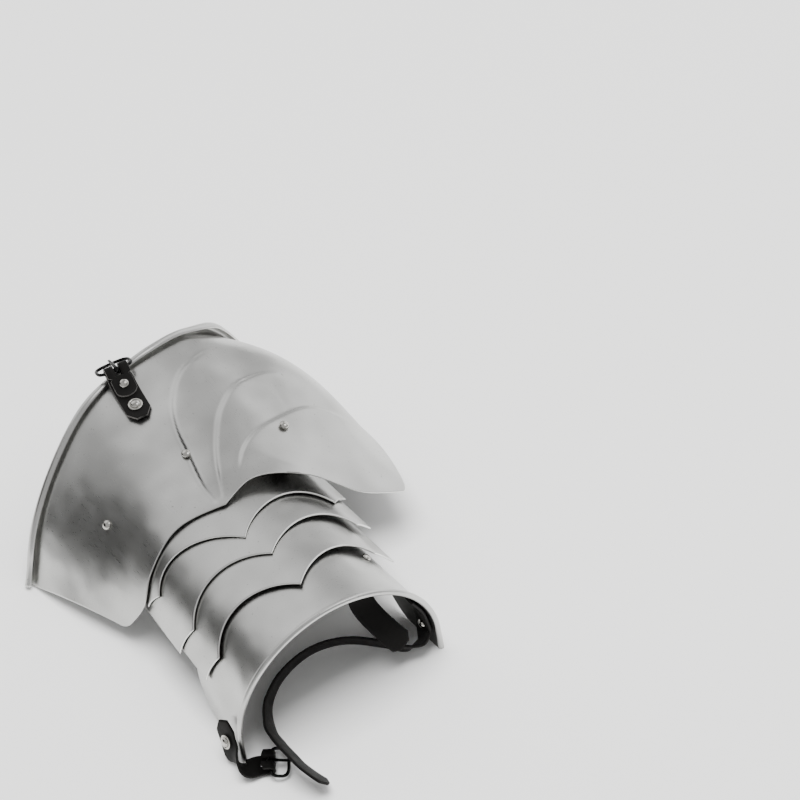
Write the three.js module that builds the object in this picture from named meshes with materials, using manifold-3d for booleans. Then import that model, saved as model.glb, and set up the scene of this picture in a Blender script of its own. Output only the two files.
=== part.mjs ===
// Steel pauldron: a fluted shoulder plate, three scalloped lames and an upper-arm
// plate, carried on three inner leathers, with a buckled tab at the neck and another at the arm.
// Millimetres. X runs down the arm, Y across it and Z away from it, with the floor at Z = 0.

import * as THREE from 'three';
import { mergeVertices } from 'three/addons/utils/BufferGeometryUtils.js';
import Module from 'manifold-3d';

const wasm = await Module();
wasm.setup();

// Driving dimensions
const STEEL = 1.3;
const LEATHER = 2.2;
const STRAP_WIDTH = 20;
const SEAT_GAP = 0.3;
const AXIS_HEIGHT = 23;
const RIM_ROLL_RADIUS = 1.1;
const ROLL_TURN = 250;
const ROLL_STEPS = 5;

// Shoulder plate: each row is one line over the plate from neck to arm, as along, across, height
const PLATE_LINES = [
  { neck: [-248, -125, 0.8], middle: [-200, -112, 14], arm: [-154, -95.5, 15] },
  { neck: [-262, -103, 46], middle: [-203, -93, 43], arm: [-140, -84.5, 47] },
  { neck: [-277, -70, 80], middle: [-209, -71, 67], arm: [-147, -71, 68] },
  { neck: [-290, -34, 101], middle: [-216, -38, 92.5], arm: [-154, -41, 90.5] },
  { neck: [-299, 0, 105.5], middle: [-222, 0, 104], arm: [-150, 0, 100.5] },
  { neck: [-304, 36, 105], middle: [-224, 37, 106], arm: [-150, 35, 102] },
  { neck: [-310, 68, 94], middle: [-223, 77, 98], arm: [-137, 68, 91] },
  { neck: [-312, 98, 66], middle: [-220, 125, 78], arm: [-118, 102, 62] },
  { neck: [-298, 126, 0.8], middle: [-205, 147, 28], arm: [-112, 136, 43] },
];
const CUSP_LINE = 4;
const CUSP = { reach: 0.044, leftLines: 1.3, rightLines: 0.85, sharpness: 1.7 };
const PLATE_CORNER = { reach: 0.06, leftLines: 0.24, rightLines: 0.1 };
const PLATE_COLUMNS = 40;
const PLATE_ROWS = 20;

// Rolled neck edge: wider at its left end and at the lip on the collar's peak
const NECK_ROLL = { radius: 1.5, endExtra: 0.9, endLines: 0.5, lipExtra: 1.8, lipLine: 6.7, lipLines: 0.4 };

// Flutes: each raised line from cusp to tip, as lines and runs on the plate
const FLUTES = [
  [[3.91, 1.02], [3.91, 0.87], [4.08, 0.65], [4.24, 0.48],
    [4.54, 0.33], [5.1, 0.2], [5.79, 0.15], [6.19, 0.13]],
  [[4.03, 1.01], [4.23, 0.9], [4.44, 0.79], [4.73, 0.67],
    [5.19, 0.52], [5.8, 0.41], [6.31, 0.39], [6.73, 0.42]],
  [[4.66, 0.93], [4.99, 0.82], [5.41, 0.73], [6, 0.67], [6.55, 0.64], [6.91, 0.67], [7.45, 0.68]],
];
const FLUTE_STEP = 1.9;
const FLUTE_FADE = 26;
const FLUTE_EDGE = 3.5;
const FLUTE_ENDS = { foot: 0.1, tip: 0.75 };
const FLUTE_LOOKS = 60;

// Shells round the arm: size at one place along it, and how it opens towards the elbow
const SHELLS = {
  lame_1: { at: -108, left: 88.2, right: 97.5, spread: 0.07, top: 99.5, rise: 0.08, tail: 60 },
  lame_2: { at: -80, left: 88.2, right: 96.5, spread: 0.07, top: 101.5, rise: 0.13, tail: 60 },
  lame_3: { at: -36, left: 89, right: 92, spread: 0.07, top: 106, rise: 0.15, tail: 60 },
  arm_cannon: { at: 0, left: 88.5, right: 86.5, spread: 0.07, top: 107.5, rise: 0.15, tail: 90 },
};

// Lame edges: corners as degrees round the arm and mm along it, with the sag of each scallop
const LAMES = [
  { name: 'lame_1', topEdge: -170, sags: [1.5, 19, 20, 1.5],
    corners: [[-72, -138], [-60, -130], [-3.4, -107], [54, -118], [73, -133]] },
  { name: 'lame_2', topEdge: -152, sags: [1.5, 17, 17.5, 1.5],
    corners: [[-77.7, -88.5], [-57, -81.5], [0.9, -79.5], [57.5, -91.5], [72, -95]] },
  { name: 'lame_3', topEdge: -116, sags: [1.5, 19, 16, 1.5],
    corners: [[-75.6, -51], [-57, -44.5], [0.6, -36.8], [55, -55.5], [72.8, -56.5]] },
];
const SCALLOP_STEPS = [3, 12, 12, 3];
const LAME_ROWS = 2;

// Upper-arm plate
const CANNON = { topEdge: -76, foot: -36, footRise: 30, footRun: 31 };
const CANNON_COLUMNS = 40;
const CANNON_ROWS = 5;

// Inner leathers: the rivet on the shoulder plate, and degrees round the arm below it
const INNER_LEATHERS = [
  { side: 'left', line: 2.02, run: 0.5, lift: 0.4, under: 1.1, degrees: -50 },
  { side: 'centre', line: 4.05, run: 0.64, lift: 1.35, under: 2.9, degrees: 0 },
  { side: 'right', line: 6.04, run: 0.73, lift: 1.6, under: 3.3, degrees: 44 },
];
const LEATHER_UNDER = 4;
const CANNON_RIVET = { along: -56, degrees: 53 };
const RIGHT_LEATHER_TAIL = [[-44, 52, 68], [-36, 46.5, 50], [-9, 54, 31], [0, 59, 24]];

// Rivets
const RIVET = { radius: 3.8, rim: 0.3, height: 2.4 };
const WASHER = { radius: 6.4, topRadius: 5.8, height: 1.2 };
const ROUND_SIDES = 12;
const DOME_STEPS = 3;

// Buckles: the ring is a flattened oval of round wire, and its bar lies in the leather's fold
const RING = { half: 13.7, depth: 14.4, wire: 1.3, squareness: 3.2, points: 28, sides: 6 };
const TONGUE = { eye: 1.65, eyeRim: 2.75, width: 3, reach: 17.5, taper: 14, lift: 1.55, thick: 1.7,
  tipThick: 1 };
const FOLD_RADIUS = 3.3;
const TONGUE_SLOT = { width: 4.8, length: 13.2, depth: 12, back: 6.7 };

// Shoulder tab: start, heading over the plate, and height of the leather's middle along it
const SHOULDER_TAB = { start: [-251, -5.5, 106], heading: [-0.99, 0.14, 0], bar: [46, 9.8], droop: 26 };
const SHOULDER_TAB_RIVETS = { washer: [13, 1.2], small: [33, 6.3] };

const vector = (row) => new THREE.Vector3(...row);
const radians = THREE.MathUtils.degToRad;
const between = THREE.MathUtils.lerp;
const { smoothstep } = THREE.MathUtils;

// Mesh helpers

function geometryFrom(points, faces) {
  const geometry = new THREE.BufferGeometry();
  const numbers = points.flatMap((point) => point.toArray());
  geometry.setAttribute('position', new THREE.Float32BufferAttribute(numbers, 3));
  const insideOut = signedVolume(points, faces) < 0;
  geometry.setIndex(faces.flatMap(([a, b, c]) => (insideOut ? [a, c, b] : [a, b, c])));
  return geometry;
}

function signedVolume(points, faces) {
  const cross = new THREE.Vector3();
  const corner = ([a, b, c]) => points[a].dot(cross.crossVectors(points[b], points[c])) / 6;
  return faces.reduce((sum, face) => sum + corner(face), 0);
}

// A closed sheet between two grids of points, with walls round its four edges
function sheetBetween(outer, inner) {
  const rows = outer.length;
  const columns = outer[0].length;
  const points = [...outer.flat(), ...inner.flat()];
  const faces = [];
  const quad = (a, b, c, d) => faces.push([a, b, c], [a, c, d]);
  const top = (r, c) => r * columns + c;
  const under = (r, c) => rows * columns + top(r, c);
  for (let r = 0; r < rows - 1; r += 1) {
    for (let c = 0; c < columns - 1; c += 1) {
      quad(top(r, c), top(r, c + 1), top(r + 1, c + 1), top(r + 1, c));
      quad(under(r, c), under(r + 1, c), under(r + 1, c + 1), under(r, c + 1));
    }
  }
  for (let r = 0; r < rows - 1; r += 1) {
    const last = columns - 1;
    quad(top(r, 0), top(r + 1, 0), under(r + 1, 0), under(r, 0));
    quad(top(r + 1, last), top(r, last), under(r, last), under(r + 1, last));
  }
  for (let c = 0; c < columns - 1; c += 1) {
    const last = rows - 1;
    quad(top(0, c + 1), top(0, c), under(0, c), under(0, c + 1));
    quad(top(last, c), top(last, c + 1), under(last, c + 1), under(last, c));
  }
  return geometryFrom(points, faces);
}

// The face normal of a two-way surface, pointing away from the arm
function normalAt(surface, x, y) {
  const step = 1e-3;
  const alongX = surface(x + step, y).sub(surface(x - step, y));
  const alongY = surface(x, y + step).sub(surface(x, y - step));
  return alongX.cross(alongY).normalize();
}

// Steel sheet under a grid of places on a surface, thickened inwards
function steelSheet(surface, grid) {
  const outer = grid.map((row) => row.map(([x, y]) => surface(x, y)));
  const inner = grid.map((row, r) => row.map(([x, y], c) => (
    outer[r][c].clone().addScaledVector(normalAt(surface, x, y), -STEEL))));
  return sheetBetween(outer, inner);
}

// Places along a strip of leather: stations give a place and the direction across it
function stripFrame(stations) {
  const path = new THREE.CatmullRomCurve3(stations.map((s) => vector(s.at)), false, 'centripetal');
  return (t) => {
    const tangent = path.getTangent(t);
    const place = t * (stations.length - 1);
    const index = Math.min(Math.floor(place), stations.length - 2);
    const across = vector(stations[index].across).lerp(vector(stations[index + 1].across), place - index);
    across.addScaledVector(tangent, -across.dot(tangent)).normalize();
    return { at: path.getPoint(t), across, normal: new THREE.Vector3().crossVectors(tangent, across) };
  };
}

// A flat strip of leather along its stations
function ribbon(stations, steps, widthAt) {
  const frameAt = stripFrame(stations);
  const upper = [];
  const lower = [];
  for (let i = 0; i <= steps; i += 1) {
    const { at, across, normal } = frameAt(i / steps);
    const edge = (side, lift) => at.clone().addScaledVector(across, side * widthAt(i / steps) / 2)
      .addScaledVector(normal, lift * LEATHER / 2);
    upper.push([edge(-1, 1), edge(1, 1)]);
    lower.push([edge(-1, -1), edge(1, -1)]);
  }
  return sheetBetween(upper, lower);
}

// Full width along a strip, with its corners clipped over the last part of each end
function clippedEnds(length, start, end, width = STRAP_WIDTH, narrow = 0.45) {
  return (t) => {
    const fromStart = start ? Math.min(1, t * length / start) : 1;
    const fromEnd = end ? Math.min(1, (1 - t) * length / end) : 1;
    return width * between(narrow, 1, Math.min(fromStart, fromEnd));
  };
}

function solidOf(geometry) {
  const bare = geometry.clone();
  bare.deleteAttribute('normal');
  bare.deleteAttribute('uv');
  const merged = mergeVertices(bare, 1e-4);
  return new wasm.Manifold(new wasm.Mesh({
    numProp: 3,
    vertProperties: new Float32Array(merged.attributes.position.array),
    triVerts: new Uint32Array(merged.index.array),
  }));
}

function geometryOf(solid) {
  const mesh = solid.getMesh();
  const geometry = new THREE.BufferGeometry();
  geometry.setAttribute('position', new THREE.BufferAttribute(mesh.vertProperties, mesh.numProp));
  geometry.setIndex(new THREE.BufferAttribute(mesh.triVerts, 1));
  return geometry;
}

// Materials

const steel = () => new THREE.MeshStandardMaterial({ color: 0xb4b4b2, metalness: 1, roughness: 0.32 });
const blackLeather = () => new THREE.MeshStandardMaterial({ color: 0x1f1e1d, roughness: 0.6 });
const nickel = () => new THREE.MeshStandardMaterial({ color: 0xd6d5d0, metalness: 1, roughness: 0.22 });
const blackSteel = () => new THREE.MeshStandardMaterial({ color: 0x262626, metalness: 1, roughness: 0.35 });

const pauldron = new THREE.Group();
const inArmFrame = new THREE.Group();
pauldron.add(inArmFrame);

function addPiece(name, geometry, material, parent = inArmFrame) {
  const mesh = new THREE.Mesh(geometry, material);
  mesh.name = name;
  parent.add(mesh);
  return mesh;
}

// Shoulder plate

const neckCurve = new THREE.CatmullRomCurve3(PLATE_LINES.map((row) => vector(row.neck)));
const middleCurve = new THREE.CatmullRomCurve3(PLATE_LINES.map((row) => vector(row.middle)));
const armCurve = new THREE.CatmullRomCurve3(PLATE_LINES.map((row) => vector(row.arm)));
const LAST_LINE = PLATE_LINES.length - 1;

// A smooth plate through the neck, middle and arm curves, before the flutes are raised
function plainPlate(line, run) {
  const t = THREE.MathUtils.clamp(line / LAST_LINE, 0, 1);
  const neck = neckCurve.getPoint(t).multiplyScalar(2 * (run - 0.5) * (run - 1));
  const middle = middleCurve.getPoint(t).multiplyScalar(-4 * run * (run - 1));
  const arm = armCurve.getPoint(t).multiplyScalar(2 * run * (run - 0.5));
  return neck.add(middle).add(arm);
}

// Places along each flute, with its heading there
const fluteLines = FLUTES.map((rows) => {
  const curve = new THREE.CatmullRomCurve3(rows.map(([line, run]) => plainPlate(line, run)));
  return Array.from({ length: FLUTE_LOOKS + 1 }, (_, k) => {
    const t = k / FLUTE_LOOKS;
    return { t, at: curve.getPoint(t), heading: curve.getTangent(t) };
  });
});

// Height of the flutes: a step up on the elbow side of each line, fading into the plate
function fluteHeight(face, outward) {
  return fluteLines.reduce((sum, places) => {
    const gaps = places.map(({ at }) => at.distanceTo(face));
    const gap = Math.min(...gaps);
    const { t, at, heading } = places[gaps.indexOf(gap)];
    const offset = face.clone().sub(at);
    const inside = -Math.sign(offset.cross(heading).negate().dot(outward)) * gap;
    const foot = smoothstep(t, 0, FLUTE_ENDS.foot);
    const tip = 1 - smoothstep(t, FLUTE_ENDS.tip, 1);
    const step = smoothstep(inside, -1, FLUTE_EDGE) * Math.exp(-((inside / FLUTE_FADE) ** 2));
    return sum + FLUTE_STEP * foot * tip * step;
  }, 0);
}

// Radius of the neck roll along the edge
function neckRollRadius(line) {
  const end = Math.max(0, 1 - line / NECK_ROLL.endLines);
  const lip = Math.exp(-(((line - NECK_ROLL.lipLine) / NECK_ROLL.lipLines) ** 2));
  return NECK_ROLL.radius + NECK_ROLL.endExtra * end * end + NECK_ROLL.lipExtra * lip;
}

// The whole plate: runs below zero are the rolled neck edge, measured in turns of the roll
function plateSurface(line, run) {
  const flat = Math.max(run, 0);
  const face = plainPlate(line, flat);
  const outward = normalAt(plainPlate, line, flat).negate();
  if (run >= 0) {
    return face.addScaledVector(outward, fluteHeight(face, outward));
  }
  const turn = radians(-run * ROLL_TURN);
  const offPlate = plainPlate(line, 0).sub(plainPlate(line, 0.01)).normalize();
  const radius = neckRollRadius(line);
  return face.addScaledVector(offPlate, radius * Math.sin(turn))
    .addScaledVector(outward, radius * (1 - Math.cos(turn)));
}

// Where the plate ends towards the arm: the middle cusp reaches past the arm curve
function plateEnd(line) {
  const side = line < CUSP_LINE ? CUSP.leftLines : CUSP.rightLines;
  const away = Math.min(Math.abs(line - CUSP_LINE) / side, 1);
  return 1 + CUSP.reach * (1 - away) ** CUSP.sharpness;
}

// How far the rounded corner takes the plate's side edge in, in lines
function cornerIn(share, depth) {
  const into = Math.max(0, (share - 1 + PLATE_CORNER.reach) / PLATE_CORNER.reach);
  return depth * (1 - Math.sqrt(1 - into * into));
}

function plateGrid() {
  const rows = [];
  for (let r = -ROLL_STEPS; r <= PLATE_ROWS; r += 1) {
    const share = Math.max(r, 0) / PLATE_ROWS;
    const first = cornerIn(share, PLATE_CORNER.leftLines);
    const last = LAST_LINE - cornerIn(share, PLATE_CORNER.rightLines);
    const row = [];
    for (let c = 0; c <= PLATE_COLUMNS; c += 1) {
      const line = between(first, last, c / PLATE_COLUMNS);
      row.push([line, r < 0 ? r / ROLL_STEPS : share * plateEnd(line)]);
    }
    rows.push(row);
  }
  return rows;
}

// The sheet is thickened against the surface's own normal, so the surface is read right to left
const mirroredLine = (line) => LAST_LINE - line;
const plateFromRight = (line, run) => plateSurface(mirroredLine(line), run);
addPiece('main_plate', steelSheet(
  plateFromRight, plateGrid().map((row) => row.map(([line, run]) => [mirroredLine(line), run]))), steel());

// Shells round the arm

// A place on a shell: degrees past the tail run straight on, as the ends of the lames and the cannon
function shellPoint(name, along, degrees) {
  const shell = SHELLS[name];
  const opening = along - shell.at;
  const width = (degrees < 0 ? shell.left : shell.right) + shell.spread * opening;
  const height = shell.top + shell.rise * opening - AXIS_HEIGHT;
  const limit = degrees < 0 ? 90 : shell.tail;
  const round = radians(Math.min(Math.abs(degrees), limit));
  const straight = radians(Math.max(Math.abs(degrees) - limit, 0));
  const across = Math.sin(round) + straight * Math.cos(round);
  const up = Math.cos(round) - straight * Math.sin(round);
  return new THREE.Vector3(along, Math.sign(degrees) * width * across, AXIS_HEIGHT + height * up);
}

// The direction round the arm at a place on a shell
function acrossShell(name, along, degrees) {
  const before = shellPoint(name, along, degrees - 0.2);
  return shellPoint(name, along, degrees + 0.2).sub(before).normalize().toArray();
}

const shellSurface = (name) => (degrees, along) => shellPoint(name, along, -degrees);

// Depth of a circular scallop at a share of its chord
function scallopDip(share, chord, sag) {
  const radius = (chord * chord / 4 + sag * sag) / (2 * sag);
  return Math.sqrt(radius * radius - ((share - 0.5) * chord) ** 2) - (radius - sag);
}

function lameColumns({ name, corners, sags }) {
  const degreeLength = radians(SHELLS[name].left);
  const columns = [];
  corners.slice(1).forEach(([degrees, along], i) => {
    const [fromDegrees, fromAlong] = corners[i];
    const chord = (degrees - fromDegrees) * degreeLength;
    for (let k = i === 0 ? 0 : 1; k <= SCALLOP_STEPS[i]; k += 1) {
      const share = k / SCALLOP_STEPS[i];
      const edge = between(fromAlong, along, share) - scallopDip(share, chord, sags[i]);
      columns.push([between(fromDegrees, degrees, share), edge]);
    }
  });
  return columns;
}

for (const lame of LAMES) {
  const grid = [];
  for (let r = 0; r <= LAME_ROWS; r += 1) {
    const share = r / LAME_ROWS;
    grid.push(lameColumns(lame).map(([degrees, edge]) => [-degrees, between(lame.topEdge, edge, share)]));
  }
  addPiece(lame.name, steelSheet(shellSurface(lame.name), grid), steel());
}

// Upper-arm plate: its feet stand on the floor near the rim and rise towards the lames

function cannonEndDegrees(along) {
  const rise = CANNON.footRise * (Math.max(CANNON.foot - along, 0) / CANNON.footRun) ** 2;
  const height = shellPoint('arm_cannon', along, 0).z - AXIS_HEIGHT;
  const drop = AXIS_HEIGHT - rise;
  return drop >= 0 ? 90 + THREE.MathUtils.radToDeg(drop / height)
    : THREE.MathUtils.radToDeg(Math.acos(-drop / height));
}

// Places past zero along the arm are the rolled rim, measured in turns of the roll
function cannonSurface(share, along) {
  const flat = Math.min(along, 0);
  const degrees = -share * cannonEndDegrees(flat);
  const face = shellPoint('arm_cannon', flat, degrees);
  if (along <= 0) {
    return face;
  }
  const offPlate = new THREE.Vector3(1, 0, 0);
  const across = vector(acrossShell('arm_cannon', flat, degrees));
  const outward = across.cross(offPlate).normalize().negate();
  const turn = radians(along * ROLL_TURN);
  return face.addScaledVector(offPlate, RIM_ROLL_RADIUS * Math.sin(turn))
    .addScaledVector(outward, RIM_ROLL_RADIUS * (1 - Math.cos(turn)));
}

function cannonGrid() {
  const places = [];
  for (let r = 0; r <= CANNON_ROWS; r += 1) {
    places.push(between(CANNON.topEdge, 0, r / CANNON_ROWS));
  }
  for (let r = 1; r <= ROLL_STEPS; r += 1) {
    places.push(r / ROLL_STEPS);
  }
  return places.map((along) => Array.from({ length: CANNON_COLUMNS + 1 }, (_, c) => (
    [between(1, -1, c / CANNON_COLUMNS), along])));
}

addPiece('arm_cannon', steelSheet(cannonSurface, cannonGrid()), steel());

// Inner leathers, seated under the plate and under the top edge of each shell

function shellSeat(name, along, degrees) {
  const outward = normalAt(shellSurface(name), -degrees, along);
  const depth = STEEL + LEATHER_UNDER + LEATHER / 2;
  return { at: shellPoint(name, along, degrees).addScaledVector(outward, -depth).toArray(),
    across: acrossShell(name, along, degrees) };
}

function plateSeat(line, run, lift) {
  const outward = normalAt(plateFromRight, mirroredLine(line), run);
  return { at: plateSurface(line, run).addScaledVector(outward, lift), outward };
}

const LEATHER_ENDS = [-0.07, 0, 0.05];
const LEATHER_LENGTH = 160;
const LEATHER_HOLD = 9;
const LEATHER_CLIP = 5;
const LEATHER_STEPS = 30;
const TAIL_ACROSS = [0.2, 0.98, 0];

for (const { side, line, run, under, degrees } of INNER_LEATHERS) {
  const across = plateSurface(line + 0.1, run).sub(plateSurface(line - 0.1, run)).normalize().toArray();
  const depth = -(STEEL + under + LEATHER / 2);
  const onPlate = (end) => plateSeat(line, run + end, depth).at.toArray();
  const stations = LEATHER_ENDS.map((end) => ({ at: onPlate(end), across }));
  LAMES.forEach(({ name, topEdge }) => stations.push(shellSeat(name, topEdge, degrees)));
  stations.push(shellSeat('arm_cannon', CANNON.topEdge, degrees));
  stations.push(shellSeat('arm_cannon', CANNON_RIVET.along - LEATHER_HOLD, degrees));
  stations.push(shellSeat('arm_cannon', CANNON_RIVET.along, degrees));
  if (side === 'right') {
    RIGHT_LEATHER_TAIL.forEach((at) => stations.push({ at, across: TAIL_ACROSS }));
  }
  const width = clippedEnds(LEATHER_LENGTH, LEATHER_CLIP, LEATHER_CLIP);
  addPiece(`leather_${side}`, ribbon(stations, LEATHER_STEPS, width), blackLeather());
}

// Rivets: a domed head turned about its own axis, set on a face

function domeProfile(base, radius, height) {
  const profile = [];
  for (let step = 0; step <= DOME_STEPS; step += 1) {
    const turn = step / DOME_STEPS * Math.PI / 2;
    const out = step === DOME_STEPS ? 0 : radius * Math.cos(turn);
    profile.push(new THREE.Vector2(out, base + height * Math.sin(turn)));
  }
  return profile;
}

function rivetGeometry(washer) {
  const profile = [new THREE.Vector2(0, 0)];
  if (washer) {
    profile.push(new THREE.Vector2(WASHER.radius, 0));
    profile.push(new THREE.Vector2(WASHER.topRadius, WASHER.height));
  } else {
    profile.push(new THREE.Vector2(RIVET.radius, 0));
  }
  profile.push(...domeProfile(washer ? WASHER.height : RIVET.rim, RIVET.radius, RIVET.height));
  const turned = new THREE.LatheGeometry(profile, ROUND_SIDES);
  turned.deleteAttribute('normal');
  turned.deleteAttribute('uv');
  return mergeVertices(turned, 1e-3);
}

function addRivet(name, at, outward, washer = false) {
  const rivet = addPiece(name, rivetGeometry(washer), nickel());
  rivet.position.copy(at);
  rivet.quaternion.setFromUnitVectors(new THREE.Vector3(0, 1, 0), outward);
}

for (const { side, line, run, lift } of INNER_LEATHERS) {
  const seat = plateSeat(line, run, lift);
  addRivet(`plate_rivet_${side}`, seat.at, seat.outward);
}
const cannonSeat = shellPoint('arm_cannon', CANNON_RIVET.along, CANNON_RIVET.degrees);
const cannonOut = normalAt(shellSurface('arm_cannon'), -CANNON_RIVET.degrees, CANNON_RIVET.along);
addRivet('cannon_rivet_right', cannonSeat.addScaledVector(cannonOut, SEAT_GAP), cannonOut);

// Buckles, in a frame of their own: X out from the bar, Y along it, Z off the leather

function ringGeometry() {
  const power = 2 / RING.squareness;
  const shaped = (value) => Math.sign(value) * Math.abs(value) ** power;
  const path = (i) => {
    const turn = i / RING.points * 2 * Math.PI;
    return new THREE.Vector2(
      RING.depth / 2 * (1 + shaped(Math.cos(turn))), RING.half * shaped(Math.sin(turn)));
  };
  const points = [];
  const faces = [];
  for (let i = 0; i < RING.points; i += 1) {
    const heading = path(i + 0.5).sub(path(i - 0.5)).normalize();
    for (let k = 0; k < RING.sides; k += 1) {
      const turn = k / RING.sides * 2 * Math.PI;
      const out = RING.wire * Math.cos(turn);
      points.push(new THREE.Vector3(path(i).x + heading.y * out, path(i).y - heading.x * out,
        RING.wire * Math.sin(turn)));
      const corner = (a, b) => ((i + a) % RING.points) * RING.sides + (k + b) % RING.sides;
      faces.push([corner(0, 0), corner(1, 0), corner(1, 1)], [corner(0, 0), corner(1, 1), corner(0, 1)]);
    }
  }
  return geometryFrom(points, faces);
}

function tongueGeometry() {
  const side = new THREE.Shape();
  const meet = Math.asin(TONGUE.lift / TONGUE.eyeRim);
  side.absarc(0, 0, TONGUE.eyeRim, Math.PI / 2, 2 * Math.PI + meet, false);
  side.lineTo(TONGUE.reach, TONGUE.lift);
  side.lineTo(TONGUE.reach, TONGUE.lift + TONGUE.tipThick);
  side.lineTo(TONGUE.taper, TONGUE.lift + TONGUE.thick);
  const eye = new THREE.Path();
  eye.absarc(0, 0, TONGUE.eye, 0, 2 * Math.PI, true);
  side.holes.push(eye);
  const cut = { depth: TONGUE.width, bevelEnabled: false, curveSegments: 8 };
  const geometry = new THREE.ExtrudeGeometry(side, cut);
  geometry.translate(0, 0, -TONGUE.width / 2);
  return geometry.rotateX(Math.PI / 2);
}

function addBuckle(prefix, bar, out, along) {
  const buckle = new THREE.Group();
  const off = new THREE.Vector3().crossVectors(out, along);
  buckle.quaternion.setFromRotationMatrix(new THREE.Matrix4().makeBasis(out, along, off));
  buckle.position.copy(bar);
  inArmFrame.add(buckle);
  addPiece(`${prefix}_frame`, ringGeometry(), blackSteel(), buckle);
  addPiece(`${prefix}_tongue`, tongueGeometry(), blackSteel(), buckle);
}

// The leather's fold round a bar, as turns from its underside to its top
const FOLD_TURNS = [-90, -45, 0, 45, 90];

// A slot through the fold for the tongue, in the fold's own frame
function slotSolid(bar, heading, across, off) {
  const box = new THREE.BoxGeometry(TONGUE_SLOT.length, TONGUE_SLOT.width, TONGUE_SLOT.depth);
  box.translate(TONGUE_SLOT.length / 2 - TONGUE_SLOT.back, 0, 0);
  box.applyMatrix4(new THREE.Matrix4().makeBasis(heading, across, off).setPosition(bar));
  return solidOf(box);
}

// Shoulder tab: along the plate, up over the neck roll, round the bar and back as a rounded flap

const tabStart = vector(SHOULDER_TAB.start);
const tabHeading = vector(SHOULDER_TAB.heading).normalize();
const tabUp = new THREE.Vector3(0, 0, 1);
const tabAcross = new THREE.Vector3().crossVectors(tabUp, tabHeading);
const onTab = ([out, up]) => tabStart.clone().addScaledVector(tabHeading, out).addScaledVector(tabUp, up);

const [barOut, barUp] = SHOULDER_TAB.bar;
const foldPoints = FOLD_TURNS.map((turn) => (
  [barOut + FOLD_RADIUS * Math.cos(radians(turn)), barUp + FOLD_RADIUS * Math.sin(radians(turn))]));
const lowerLayer = [[0, 1.4], [12, 1.2], [24, 1.4], [34, 3.4], [41, 5.8]];
const flapLayer = [[40, 9.6], [34, 6.6], [28, 4.6], [22.5, 4]];
const tabPath = [...lowerLayer, ...foldPoints, ...flapLayer];

// Width along the tab: clipped start, narrower fold with a nick either side, and a rounded flap
const TAB_STEPS = 64;
const TAB_CLIP = 0.045;
const FLAP_ROUND = 0.09;
const FLAP_TIP = 2;
const NICK = { at: 0.78, half: 0.012, share: 0.78 };
const NARROW = { from: 0.3, to: 0.76, share: 0.95 };
function tabWidth(t) {
  const start = clippedEnds(1, TAB_CLIP, 0)(t);
  const intoFlap = Math.max(0, (t - 1 + FLAP_ROUND) / FLAP_ROUND);
  const nick = Math.abs(t - NICK.at) < NICK.half ? NICK.share : 1;
  const fold = t > NARROW.from && t < NARROW.to ? NARROW.share : 1;
  return Math.max(start * nick * fold * Math.sqrt(1 - intoFlap * intoFlap), FLAP_TIP);
}

const tabStations = tabPath.map((place) => ({ at: onTab(place).toArray(), across: tabAcross.toArray() }));
const shoulderBar = onTab(SHOULDER_TAB.bar);
const shoulderTab = solidOf(ribbon(tabStations, TAB_STEPS, tabWidth))
  .subtract(slotSolid(shoulderBar, tabHeading, tabAcross, tabUp));
addPiece('shoulder_tab', geometryOf(shoulderTab), blackLeather());

const droop = radians(SHOULDER_TAB.droop);
const ringOut = tabHeading.clone().multiplyScalar(Math.cos(droop)).addScaledVector(tabUp, -Math.sin(droop));
addBuckle('shoulder_buckle', shoulderBar, ringOut, tabAcross.clone());

const flapSlope = new THREE.Vector3().subVectors(onTab(flapLayer[0]), onTab(flapLayer[2])).normalize();
const flapUp = new THREE.Vector3().crossVectors(flapSlope, tabAcross);
const onLeather = (place, up) => onTab(place).addScaledVector(up, LEATHER / 2 + SEAT_GAP);
addRivet('shoulder_tab_washer', onLeather(SHOULDER_TAB_RIVETS.washer, tabUp), tabUp, true);
addRivet('shoulder_tab_rivet', onLeather(SHOULDER_TAB_RIVETS.small, flapUp), flapUp);

// Arm tab: down the outside of the cannon, over its rim and in towards the arm's opening

const ARM_BAR = vector([18.2, -77.6, 6.6]);
const ARM_BAR_WAY = vector([-0.85, 0.53, 0]).normalize();
const ARM_RING_OUT = vector([0.52, 0.834, -0.18]);
ARM_RING_OUT.addScaledVector(ARM_BAR_WAY, -ARM_RING_OUT.dot(ARM_BAR_WAY)).normalize();
const ARM_OFF = new THREE.Vector3().crossVectors(ARM_RING_OUT, ARM_BAR_WAY);
const fromArmBar = (out, off) => (
  ARM_BAR.clone().addScaledVector(ARM_RING_OUT, out).addScaledVector(ARM_OFF, off).toArray());
const armAcross = ARM_BAR_WAY.toArray();
const armTabStations = [
  { at: [-18, -92.6, 33], across: [-0.85, -0.36, -0.4] },
  { at: [-10, -95.2, 18], across: [-0.88, -0.2, -0.42] },
  { at: [2.6, -98, 11], across: [-0.9, 0, -0.25] },
  { at: [12, -95, 5.6], across: [-0.88, 0.3, -0.08] },
  { at: [14, -85.6, 3.6], across: armAcross },
  ...FOLD_TURNS.map((turn) => ({
    at: fromArmBar(FOLD_RADIUS * Math.cos(radians(turn)), FOLD_RADIUS * Math.sin(radians(turn))),
    across: armAcross })),
  { at: fromArmBar(-7, 2.6), across: armAcross },
];
const ARM_TAB_STEPS = 44;
const armTabWidth = clippedEnds(1, 0.05, 0.02, STRAP_WIDTH - 1);
const armTab = solidOf(ribbon(armTabStations, ARM_TAB_STEPS, armTabWidth))
  .subtract(slotSolid(ARM_BAR, ARM_RING_OUT, ARM_BAR_WAY, ARM_OFF));
addPiece('arm_tab', geometryOf(armTab), blackLeather());
addBuckle('arm_buckle', ARM_BAR, ARM_RING_OUT, ARM_BAR_WAY);

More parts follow.
